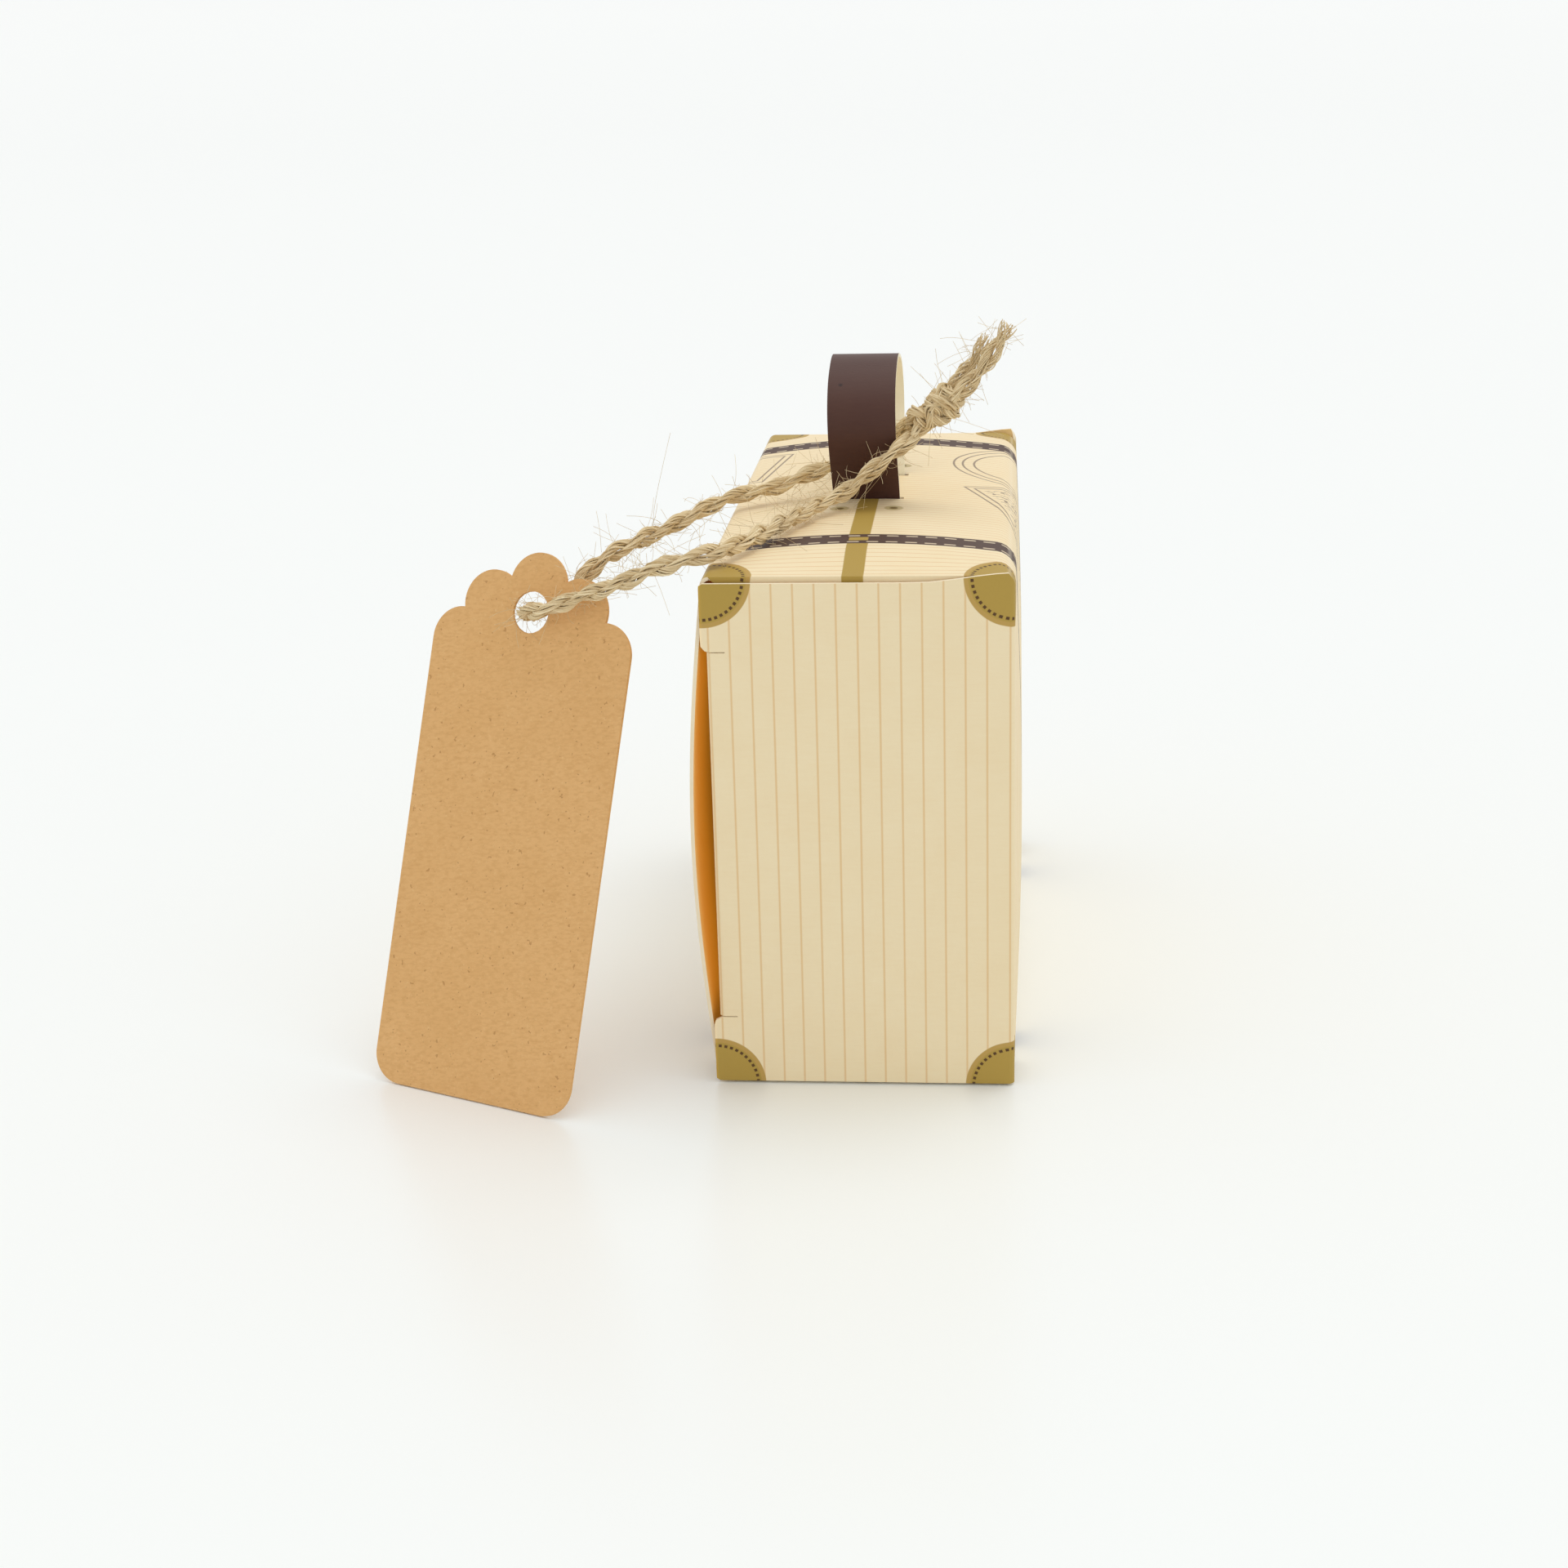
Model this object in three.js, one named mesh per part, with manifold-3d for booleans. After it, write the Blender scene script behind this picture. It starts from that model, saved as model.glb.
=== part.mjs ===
// A small suitcase-shaped card box for sweets. A folded card sleeve stands on its long
// side, each end closes with a card flap that is hinged on its right edge and tucks in on
// the left, a card strip makes the handle, and a scalloped kraft tag hangs on a loop of
// jute twine that is knotted round one leg of the handle.
// Millimetres, +Z up, X across the box, Y along it. The origin is on the surface that the
// box stands on, at the middle of its base.
import * as THREE from "three";
import { mergeVertices } from "three/addons/utils/BufferGeometryUtils.js";
import Module from "manifold-3d";

// Box
const boxLength = 80;
const boxWidth = 33;
const boxHeight = 58;
const card = 0.4;
const clearance = 0.3;
const foldRadius = 0.8;
const softFoldRadius = 2;
const leftBow = 2.1;
const rightBow = 0.75;
const topCrown = 1.25;
const crownRunIn = 9;
const glueFlapWidth = 9;
const glueFlapInset = 3;

// Dust flaps, which fold in from the top and the base at both ends
const dustFlapDepth = 18;
const dustFlapShoulder = 1.8;
const dustFlapTaper = 1.5;
const dustFlapCorner = 3;

// End flaps
const earHeight = 8;
const earReach = 0.6;
const earCorner = 0.9;
const slitLength = 2;
const slitWidth = 0.4;
const tuckDepth = 12;
const tuckLean = 2.4;
const tuckCorner = 5;
const tuckFoldRadius = 0.7;

// Handle
const handleWidth = 7.75;
const handleOffset = -0.65;
const handleSpread = 13.2;
const handleBulge = 4.6;
const handleRise = 15.75;
const handleTail = 6;
const handleFoldRadius = 0.7;

// Tag
const tagWidth = 26.1;
const tagHeight = 61.2;
const tagCard = 0.4;
const tagCorner = 3.5;
const scallopRadius = 3.7;
const scallopIn = 5.7;
const scallopDrop = 6.1;
const shoulderDrop = 10.6;
const tagHole = 4.7;
const tagHoleDrop = 6.7;
const tagHoleOffset = -0.5;
const tagFoot = new THREE.Vector3(-43.91, -45.39, 0.1);
const tagTurn = THREE.MathUtils.degToRad(23.5);
const tagLean = THREE.MathUtils.degToRad(20.1);

// Twine
const twineDiameter = 2;
const knotLength = 6.8;
const knotDiameter = 5.5;
const knotEndDiameter = 4.6;
const knotCentre = new THREE.Vector3(7.7, -9.5, 70.4);
const knotLean = THREE.MathUtils.degToRad(48.8);
const twinePitch = 2.35;
const longTail = 9;
const shortTail = 6;

// The twine loop, from the knot in front of the handle's near leg, over the near left
// corner, through the hole in the tag, back over the left edge, behind the same leg and
// up to the knot.
const twineRoute = [
  [5.0, -10.7, 67.3], [4.1, -11.4, 66.7], [2.7, -12.2, 65.7], [0.9, -12.6, 64.2],
  [-1.2, -12.8, 62.6], [-3.1, -13.6, 61.4], [-5.1, -15.6, 60.8], [-7.3, -19.8, 60.5],
  [-9.6, -25.4, 60.3], [-11.9, -30.3, 60.1], [-14.0, -33.6, 59.9], [-16.1, -35.5, 59.6],
  [-18.3, -36.0, 59.1], [-20.6, -35.7, 58.4], [-23.0, -34.9, 57.4], [-25.8, -33.9, 56.1],
  [-28.7, -32.9, 54.8], [-31.6, -31.9, 53.7], [-35.3, -30.9, 52.2], [-36.9, -29.6, 51.7],
  [-37.6, -27.8, 51.2], [-37.3, -25.8, 50.8], [-36.1, -24.2, 50.7], [-34.5, -22.4, 51.6],
  [-32.4, -21.1, 53.3], [-29.7, -19.2, 55.4], [-26.2, -15.9, 56.6], [-22.7, -12.6, 57.6],
  [-19.8, -10.2, 58.7], [-17.0, -8.3, 59.7], [-14.2, -7.1, 60.1], [-11.2, -6.4, 60.7],
  [-8.2, -6.0, 61.7], [-4.9, -5.9, 62.9], [-2.3, -6.2, 64.0], [0.6, -7.0, 65.4],
  [2.9, -8.0, 66.9], [4.4, -8.4, 68.3],
];

// Colours
const creamCard = 0xf7e4be;
const brownCard = 0x583a30;
const kraftCard = 0xd0a36c;
const juteFibre = 0xc8b482;

// Worked out from the sizes above
const halfWidth = boxWidth / 2;
const sleeveEnd = boxLength / 2 - card - clearance;
const innerHalf = halfWidth - card;
const slotHalfSpread = handleSpread / 2;
const handleTop = boxHeight + topCrown + handleRise;
const underTop = boxHeight + topCrown - card;

const wasm = await Module();
wasm.setup();

// A closed three.js geometry becomes a solid that can be joined and cut.
function toSolid(geometry) {
  const bare = geometry.index ? geometry.toNonIndexed() : geometry.clone();
  bare.deleteAttribute("normal");
  bare.deleteAttribute("uv");
  const merged = mergeVertices(bare, 1e-5);
  return new wasm.Manifold(new wasm.Mesh({
    numProp: 3,
    vertProperties: new Float32Array(merged.attributes.position.array),
    triVerts: new Uint32Array(merged.index.array),
  }));
}

function toGeometry(solid) {
  const mesh = solid.getMesh();
  const geometry = new THREE.BufferGeometry();
  geometry.setAttribute("position", new THREE.BufferAttribute(mesh.vertProperties, 3));
  geometry.setIndex(new THREE.BufferAttribute(mesh.triVerts, 1));
  geometry.computeVertexNormals();
  return geometry;
}

function join(solids) {
  return solids.reduce((whole, next) => whole.add(next));
}

// An outline drawn in X and Z, given a thickness along Y from yStart.
function slabAcross(shape, depth, yStart) {
  const geometry = new THREE.ExtrudeGeometry(shape, { depth, bevelEnabled: false, curveSegments: 6 });
  geometry.rotateX(Math.PI / 2);
  geometry.translate(0, yStart + depth, 0);
  return geometry;
}

// An outline drawn in Y and Z, given a thickness along X from xStart.
function slabAlong(shape, depth, xStart) {
  const geometry = new THREE.ExtrudeGeometry(shape, { depth, bevelEnabled: false, curveSegments: 6 });
  const turn = new THREE.Matrix4().makeBasis(
    new THREE.Vector3(0, 1, 0), new THREE.Vector3(0, 0, 1), new THREE.Vector3(1, 0, 0));
  geometry.applyMatrix4(turn);
  geometry.translate(xStart, 0, 0);
  return geometry;
}

function block(low, high) {
  const size = new THREE.Vector3().subVectors(high, low);
  const geometry = new THREE.BoxGeometry(size.x, size.y, size.z);
  geometry.translate((low.x + high.x) / 2, (low.y + high.y) / 2, (low.z + high.z) / 2);
  return toSolid(geometry);
}

// A strip seen edge on: its middle line, widened by half the thickness to each side.
function stripShape(line, thickness) {
  const last = line.length - 1;
  const side = (sign) => line.map((point, i) => {
    const along = new THREE.Vector2().subVectors(line[Math.min(i + 1, last)], line[Math.max(i - 1, 0)]);
    along.normalize();
    const shift = sign * thickness / 2;
    return new THREE.Vector2(point.x - along.y * shift, point.y + along.x * shift);
  });
  return new THREE.Shape([...side(-1), ...side(1).reverse()]);
}

function roundedRectangle(x0, y0, x1, y1, radius) {
  const shape = new THREE.Shape();
  shape.moveTo(x0 + radius, y0);
  shape.lineTo(x1 - radius, y0);
  shape.absarc(x1 - radius, y0 + radius, radius, -Math.PI / 2, 0, false);
  shape.lineTo(x1, y1 - radius);
  shape.absarc(x1 - radius, y1 - radius, radius, 0, Math.PI / 2, false);
  shape.lineTo(x0 + radius, y1);
  shape.absarc(x0 + radius, y1 - radius, radius, Math.PI / 2, Math.PI, false);
  shape.lineTo(x0, y0 + radius);
  shape.absarc(x0 + radius, y0 + radius, radius, Math.PI, Math.PI * 1.5, false);
  return shape;
}

// How far a fold's panel has eased out at a place along the box: nothing at the end flaps'
// folds, and all of it past the run-in.
function easedOut(y) {
  return THREE.MathUtils.smoothstep(sleeveEnd - Math.abs(y), 0, crownRunIn);
}

// The panels don't stay flat: the left one bows out along its whole length, and the right
// one and the top, which the end folds hold straight, swell between the ends.
function swell(geometry) {
  const position = geometry.attributes.position;
  for (let i = 0; i < position.count; i += 1) {
    const x = position.getX(i);
    const y = position.getY(i);
    const z = position.getZ(i);
    const upSide = Math.sin(Math.PI * THREE.MathUtils.clamp(z / boxHeight, 0, 1));
    const acrossTop = 1 - (x / halfWidth) ** 2;
    if (x < -innerHalf + 0.01) position.setX(i, x - leftBow * upSide);
    else if (x > innerHalf - 0.01) position.setX(i, x + rightBow * upSide * easedOut(y));
    if (z > boxHeight - softFoldRadius) position.setZ(i, z + topCrown * acrossTop * easedOut(y));
  }
  position.needsUpdate = true;
  return geometry;
}

// The sleeve's section as a ring of points, closer together where a panel bows.
function sectionLoop(inset) {
  const x1 = halfWidth - inset;
  const z0 = inset;
  const z1 = boxHeight - inset;
  const corners = [
    { x: x1, z: z0, radius: foldRadius - inset / 2, from: -Math.PI / 2 },
    { x: x1, z: z1, radius: softFoldRadius - inset / 2, from: 0 },
    { x: -x1, z: z1, radius: foldRadius - inset / 2, from: Math.PI / 2 },
    { x: -x1, z: z0, radius: foldRadius - inset / 2, from: Math.PI },
  ];
  const panelSteps = [7, 8, 8, 1];
  const arcSteps = 3;
  const points = [];
  corners.forEach((corner, side) => {
    const centre = new THREE.Vector2(
      corner.x - Math.sign(corner.x) * corner.radius,
      corner.z + (corner.z > boxHeight / 2 ? -corner.radius : corner.radius));
    for (let step = 0; step <= arcSteps; step += 1) {
      const angle = corner.from + (Math.PI / 2) * (step / arcSteps);
      points.push(new THREE.Vector2(
        centre.x + corner.radius * Math.cos(angle), centre.y + corner.radius * Math.sin(angle)));
    }
    const next = corners[(side + 1) % corners.length];
    const start = points[points.length - 1];
    const nextStart = new THREE.Vector2(
      next.x - Math.sign(next.x) * next.radius + next.radius * Math.cos(next.from),
      next.z + (next.z > boxHeight / 2 ? -next.radius : next.radius) + next.radius * Math.sin(next.from));
    for (let step = 1; step < panelSteps[side]; step += 1) {
      points.push(start.clone().lerp(nextStart, step / panelSteps[side]));
    }
  });
  return points;
}

// The sleeve is an extruded ring whose steps crowd towards its ends, where the swell starts.
function sleeveSolid() {
  const shape = new THREE.Shape(sectionLoop(0));
  shape.holes.push(new THREE.Path(sectionLoop(card)));
  const steps = 12;
  const geometry = new THREE.ExtrudeGeometry(shape, { depth: 1, steps, bevelEnabled: false });
  geometry.rotateX(Math.PI / 2);
  const position = geometry.attributes.position;
  for (let i = 0; i < position.count; i += 1) {
    position.setY(i, sleeveEnd * Math.cos(Math.PI * position.getY(i)));
  }
  return toSolid(swell(geometry));
}

// A dust flap hangs from the fold at the top or stands up from the one at the base.
function dustFlapSolid(end, fromTop) {
  const root = fromTop ? boxHeight - card : card;
  const rootEdge = fromTop ? boxHeight - card / 2 : card / 2;
  const tip = fromTop ? boxHeight - dustFlapDepth : dustFlapDepth;
  const left = -innerHalf + dustFlapShoulder;
  const right = innerHalf - clearance;
  const turn = Math.sign(tip - root);
  const shape = new THREE.Shape();
  shape.moveTo(left, rootEdge);
  shape.lineTo(right - foldRadius, rootEdge);
  shape.lineTo(right, root + turn * foldRadius);
  shape.lineTo(right - dustFlapTaper, tip - turn * dustFlapCorner);
  shape.quadraticCurveTo(right - dustFlapTaper, tip, right - dustFlapTaper - dustFlapCorner, tip);
  shape.lineTo(left + dustFlapTaper + dustFlapCorner, tip);
  shape.quadraticCurveTo(left + dustFlapTaper, tip, left + dustFlapTaper, tip - turn * dustFlapCorner);
  shape.closePath();
  const yStart = end < 0 ? -sleeveEnd : sleeveEnd - card;
  return toSolid(slabAcross(shape, card, yStart));
}

// The strip of card glued inside the base that closes the sleeve.
function glueFlapSolid() {
  const half = sleeveEnd - glueFlapInset;
  return block(
    new THREE.Vector3(innerHalf - glueFlapWidth, -half, card / 2),
    new THREE.Vector3(innerHalf - foldRadius / 2, half, 2 * card));
}

function handleSlot(end) {
  const halfLong = handleWidth / 2 + clearance;
  const halfWide = card / 2 + clearance;
  return block(
    new THREE.Vector3(handleOffset - halfLong, end * slotHalfSpread - halfWide, underTop - topCrown),
    new THREE.Vector3(handleOffset + halfLong, end * slotHalfSpread + halfWide, boxHeight + 2 * topCrown));
}

function cartonGeometry() {
  const flaps = [-1, 1].flatMap((end) => [dustFlapSolid(end, true), dustFlapSolid(end, false)]);
  const sheet = join([sleeveSolid(), glueFlapSolid(), ...flaps]);
  return toGeometry([-1, 1].reduce((whole, end) => whole.subtract(handleSlot(end)), sheet));
}

// The end panel's outline: straight at the hinge on the right, with an ear at the top and
// the base on the left, and a short slit between each ear and the tuck fold.
function endPanelShape() {
  const low = clearance;
  const high = boxHeight - clearance;
  const ear = -halfWidth + card - earReach;
  const fold = -innerHalf;
  const shape = new THREE.Shape();
  shape.moveTo(halfWidth, low);
  shape.lineTo(halfWidth, high);
  shape.lineTo(ear + earCorner, high);
  shape.quadraticCurveTo(ear, high, ear, high - earCorner);
  shape.lineTo(ear, boxHeight - earHeight + earCorner);
  shape.quadraticCurveTo(ear, boxHeight - earHeight, ear + earCorner, boxHeight - earHeight);
  shape.lineTo(fold + slitLength, boxHeight - earHeight);
  shape.lineTo(fold + slitLength, boxHeight - earHeight - slitWidth);
  shape.lineTo(fold + tuckFoldRadius, boxHeight - earHeight - slitWidth);
  shape.lineTo(fold + tuckFoldRadius, earHeight + slitWidth);
  shape.lineTo(fold + slitLength, earHeight + slitWidth);
  shape.lineTo(fold + slitLength, earHeight);
  shape.lineTo(ear + earCorner, earHeight);
  shape.quadraticCurveTo(ear, earHeight, ear, earHeight - earCorner);
  shape.lineTo(ear, low + earCorner);
  shape.quadraticCurveTo(ear, low, ear + earCorner, low);
  shape.closePath();
  return shape;
}

// The tuck flap turns in round the fold and leans away from the bowed side panel.
function tuckFlapSolid() {
  const face = -boxLength / 2 + card / 2;
  const foldX = -innerHalf + card / 2;
  const radius = tuckFoldRadius - card / 2;
  const line = [new THREE.Vector2(foldX + 2 * tuckFoldRadius, face)];
  const arcSteps = 4;
  for (let step = 0; step <= arcSteps; step += 1) {
    const angle = (Math.PI / 2) * (step / arcSteps);
    line.push(new THREE.Vector2(
      foldX + radius - radius * Math.sin(angle), face + radius - radius * Math.cos(angle)));
  }
  line.push(new THREE.Vector2(foldX + tuckLean, face + tuckDepth));
  const low = earHeight + slitWidth;
  const high = boxHeight - earHeight - slitWidth;
  const strip = new THREE.ExtrudeGeometry(stripShape(line, card), { depth: high - low, bevelEnabled: false });
  strip.translate(0, 0, low);
  const nearEdge = -boxLength / 2 - tuckDepth;
  const outline = roundedRectangle(nearEdge, low, face + tuckDepth, high, tuckCorner);
  return toSolid(strip).intersect(toSolid(slabAlong(outline, boxWidth, -boxWidth)));
}

function endFlapGeometry() {
  const panel = toSolid(slabAcross(endPanelShape(), card, -boxLength / 2));
  return toGeometry(panel.add(tuckFlapSolid()));
}

// The handle seen from the side, from one tail under the top to its crown. The strip comes
// up through a slot, bulges outwards and closes over the top.
function handleHalfLine() {
  const under = underTop - clearance - card / 2;
  const slot = slotHalfSpread;
  const radius = handleFoldRadius;
  const rise = handleTop - card / 2 - underTop;
  const points = [
    [slot + radius + handleTail, under],
    [slot + radius + handleTail / 2, under],
    [slot + radius, under],
    [slot + radius * 0.3, under + radius * 0.3],
    [slot, under + radius],
    [slot + 0.1, under + radius + card],
    [slot + handleBulge * 0.24, underTop + rise * 0.173],
    [slot + handleBulge * 0.66, underTop + rise * 0.345],
    [slot + handleBulge * 0.96, underTop + rise * 0.54],
    [slot + handleBulge * 0.9, underTop + rise * 0.71],
    [slot + handleBulge * 0.4, underTop + rise * 0.865],
    [slot * 0.62, underTop + rise * 0.965],
    [0, underTop + rise],
  ];
  return points.map(([y, z]) => new THREE.Vector3(y, z, 0));
}

function handleGeometry() {
  const half = handleHalfLine();
  const other = half.slice(0, -1).reverse().map((point) => new THREE.Vector3(-point.x, point.y, 0));
  const curve = new THREE.CatmullRomCurve3([...half, ...other], false, "centripetal");
  const line = curve.getSpacedPoints(80).map((point) => new THREE.Vector2(point.x, point.y));
  return slabAlong(stripShape(line, card), handleWidth, handleOffset - handleWidth / 2);
}

// The point where two scallops of one radius cross, on their outer side.
function scallopMeet(first, second) {
  const middle = first.clone().lerp(second, 0.5);
  const apart = new THREE.Vector2().subVectors(second, first);
  const out = Math.sqrt(scallopRadius ** 2 - apart.lengthSq() / 4);
  const normal = new THREE.Vector2(apart.y, -apart.x).normalize();
  if (normal.y < 0) normal.negate();
  return middle.addScaledVector(normal, out);
}

function tagShape() {
  const half = tagWidth / 2;
  const shoulder = new THREE.Vector2(half - scallopRadius, tagHeight - shoulderDrop);
  const side = new THREE.Vector2(scallopIn, tagHeight - scallopDrop);
  const crown = new THREE.Vector2(0, tagHeight - scallopRadius);
  const mirror = (point) => new THREE.Vector2(-point.x, point.y);
  const scallops = [shoulder, side, crown, mirror(side), mirror(shoulder)];
  const shape = new THREE.Shape();
  shape.moveTo(-half, tagCorner);
  shape.absarc(tagCorner - half, tagCorner, tagCorner, Math.PI, Math.PI * 1.5, false);
  shape.lineTo(half - tagCorner, 0);
  shape.absarc(half - tagCorner, tagCorner, tagCorner, -Math.PI / 2, 0, false);
  let from = new THREE.Vector2(half, shoulder.y);
  scallops.forEach((centre, i) => {
    const next = scallops[i + 1];
    const to = next ? scallopMeet(centre, next) : new THREE.Vector2(-half, shoulder.y);
    const startAngle = Math.atan2(from.y - centre.y, from.x - centre.x);
    const endAngle = Math.atan2(to.y - centre.y, to.x - centre.x);
    shape.absarc(centre.x, centre.y, scallopRadius, startAngle, endAngle, false);
    from = to;
  });
  shape.closePath();
  const hole = new THREE.Path();
  hole.absarc(tagHoleOffset, tagHeight - tagHoleDrop, tagHole / 2, 0, Math.PI * 2, true);
  shape.holes.push(hole);
  return shape;
}

function tagGeometry() {
  const geometry = new THREE.ExtrudeGeometry(
    tagShape(), { depth: tagCard, bevelEnabled: false, curveSegments: 10 });
  geometry.translate(0, 0, -tagCard / 2);
  return geometry;
}

// A round twine along a curve.
function twineGeometry(curve, steps) {
  const sides = 8;
  const section = new THREE.Shape(Array.from({ length: sides }, (_, i) => {
    const angle = (2 * Math.PI * i) / sides;
    return new THREE.Vector2(Math.cos(angle), Math.sin(angle)).multiplyScalar(twineDiameter / 2);
  }));
  return new THREE.ExtrudeGeometry(section, { steps, extrudePath: curve, bevelEnabled: false });
}

function loopGeometry() {
  const points = twineRoute.map(([x, y, z]) => new THREE.Vector3(x, y, z));
  return twineGeometry(new THREE.CatmullRomCurve3(points, false, "centripetal"), 60);
}

// The knot is one pulled-tight lump: a barrel with a waist near each end.
function knotGeometry() {
  const half = knotLength / 2;
  const end = knotEndDiameter / 2;
  const belly = knotDiameter / 2;
  const profile = [
    [0, -half], [end - 0.3, -half], [end, -half * 0.86], [belly, -half * 0.35],
    [belly, half * 0.35], [end, half * 0.86], [end - 0.3, half], [0, half],
  ].map(([radius, height]) => new THREE.Vector2(radius, height));
  return new THREE.LatheGeometry(profile, 16);
}

// A tail leaves the knot's upper end and curls up. Its frame is the knot's: the first
// number is across, the second towards the back, the third along the knot.
function tailGeometry(across, back, curl, length) {
  const start = knotLength / 2 + clearance;
  const points = [0, 0.35, 0.7, 1].map((share) => new THREE.Vector3(
    across - curl * share ** 2, start + length * share, -back));
  return twineGeometry(new THREE.CatmullRomCurve3(points), 4);
}

function named(name, geometry, color, roughness) {
  const material = new THREE.MeshStandardMaterial({ color, roughness, metalness: 0 });
  const mesh = new THREE.Mesh(geometry, material);
  mesh.name = name;
  return mesh;
}

const group = new THREE.Group();

group.add(named("carton", cartonGeometry(), creamCard, 0.5));

group.add(named("near_end_flap", endFlapGeometry(), creamCard, 0.5));

// The far flap is the near one turned over end for end, so its hinge is on the same side.
const farFlap = named("far_end_flap", endFlapGeometry(), creamCard, 0.5);
farFlap.rotation.x = Math.PI;
farFlap.position.z = boxHeight;
group.add(farFlap);

group.add(named("handle_strip", handleGeometry(), brownCard, 0.45));

const tag = named("gift_tag", tagGeometry(), kraftCard, 0.85);
tag.rotation.set(Math.PI / 2 - tagLean, 0, -tagTurn, "ZXY");
tag.position.copy(tagFoot);
group.add(tag);

group.add(named("twine_loop", loopGeometry(), juteFibre, 0.95));

const knotGroup = new THREE.Group();
knotGroup.position.copy(knotCentre);
knotGroup.rotation.y = knotLean;
const upright = new THREE.Group();
upright.rotation.x = Math.PI / 2;
upright.add(named("twine_knot", knotGeometry(), juteFibre, 0.95));
upright.add(named("twine_tail_long", tailGeometry(0.4, -twinePitch / 2, 2.2, longTail), juteFibre, 0.95));
upright.add(named("twine_tail_short", tailGeometry(-0.4, twinePitch / 2, 1.6, shortTail), juteFibre, 0.95));
knotGroup.add(upright);
group.add(knotGroup);

export default group;
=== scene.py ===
# %% [markdown]
# # A suitcase-shaped candy box
# The box is a folded sheet of printed card with a card handle, and a kraft tag hangs on it
# from a loop of jute twine. The solids of the part are the frame for every piece made here,
# so this cell loads them first.

# %% Load the frame
import math
import bmesh
import bpy
import numpy as np
from mathutils import Matrix


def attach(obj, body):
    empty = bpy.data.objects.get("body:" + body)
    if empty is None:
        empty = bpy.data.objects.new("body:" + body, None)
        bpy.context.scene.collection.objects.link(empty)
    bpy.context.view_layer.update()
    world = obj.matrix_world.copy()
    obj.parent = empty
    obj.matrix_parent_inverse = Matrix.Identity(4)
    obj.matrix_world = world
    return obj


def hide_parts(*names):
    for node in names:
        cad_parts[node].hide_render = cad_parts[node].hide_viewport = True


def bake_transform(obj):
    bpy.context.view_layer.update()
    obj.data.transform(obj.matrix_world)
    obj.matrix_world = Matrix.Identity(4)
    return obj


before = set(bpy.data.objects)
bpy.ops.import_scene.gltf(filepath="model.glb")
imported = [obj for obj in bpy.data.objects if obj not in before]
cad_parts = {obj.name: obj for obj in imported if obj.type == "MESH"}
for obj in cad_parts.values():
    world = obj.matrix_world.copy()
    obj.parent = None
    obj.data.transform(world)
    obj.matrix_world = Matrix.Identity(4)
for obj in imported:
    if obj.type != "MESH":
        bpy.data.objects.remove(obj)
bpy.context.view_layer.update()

MM = 0.001

# %% [markdown]
# ## The camera
# A photograph of a small box is taken from close by, so its far end looks smaller. A camera
# with the same place, turn and focal length gives the same outlines. The three angles turn
# a view along +Y: yaw about the vertical, then pitch down, then roll about the view itself.

# %% Camera
CAMERA_PLACE = (16.7, -296.4, 122.04)
CAMERA_YAW = math.radians(-5.546)
CAMERA_PITCH = math.radians(18.604)
CAMERA_ROLL = math.radians(-1.639)
CAMERA_LENS = 58.14
SENSOR = 36.0


def camera_axes(yaw, pitch, roll):
    """The view direction from yaw and pitch, then right and up turned by roll about it."""
    ahead = np.array([math.sin(yaw) * math.cos(pitch), math.cos(yaw) * math.cos(pitch), -math.sin(pitch)])
    level = np.array([math.cos(yaw), -math.sin(yaw), 0.0])
    above = np.cross(level, ahead)
    right = math.cos(roll) * level + math.sin(roll) * above
    up = -math.sin(roll) * level + math.cos(roll) * above
    return right, up, -ahead


camera_data = bpy.data.cameras.new("camera")
camera_data.lens = CAMERA_LENS
camera_data.sensor_width = SENSOR
camera = bpy.data.objects.new("camera", camera_data)
bpy.context.scene.collection.objects.link(camera)
turn = Matrix(np.array(camera_axes(CAMERA_YAW, CAMERA_PITCH, CAMERA_ROLL)).T.tolist()).to_4x4()
camera.matrix_world = Matrix.Translation([value * MM for value in CAMERA_PLACE]) @ turn
bpy.context.scene.camera = camera
print("camera at", CAMERA_PLACE, "mm, lens", CAMERA_LENS, "mm")

# %% [markdown]
# ## From arrays to meshes
# Card and twine are both made of long strips of surface. Each strip is a grid of points,
# worked out with numpy, and this helper puts any number of grids into one mesh. It also
# turns each grid's faces away from a point inside, so that thickness goes the right way.

# %% Mesh helpers
INSIDE = np.array([0.0, 0.0, 29.0])
PRINT_MAP = "print_mm"


def link_mesh(name, points, faces, coordinates=None):
    """A mesh object from points in mm, a list of faces and, if given, a print place a point."""
    mesh = bpy.data.meshes.new(name)
    mesh.from_pydata((points * MM).tolist(), [], faces)
    if coordinates is not None:
        corner_points = np.zeros(len(mesh.loops), np.int32)
        mesh.loops.foreach_get("vertex_index", corner_points)
        layer = mesh.uv_layers.new(name=PRINT_MAP)
        layer.data.foreach_set("uv", coordinates[corner_points].astype(np.float32).ravel())
    piece = bpy.data.objects.new(name, mesh)
    bpy.context.scene.collection.objects.link(piece)
    return piece


def grid_faces(rows, columns, start=0):
    """Four-cornered faces between neighbours on a grid of rows by columns."""
    index = start + np.arange(rows * columns).reshape(rows, columns)
    return np.stack([index[:-1, :-1], index[:-1, 1:], index[1:, 1:], index[1:, :-1]], axis=-1)


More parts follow.
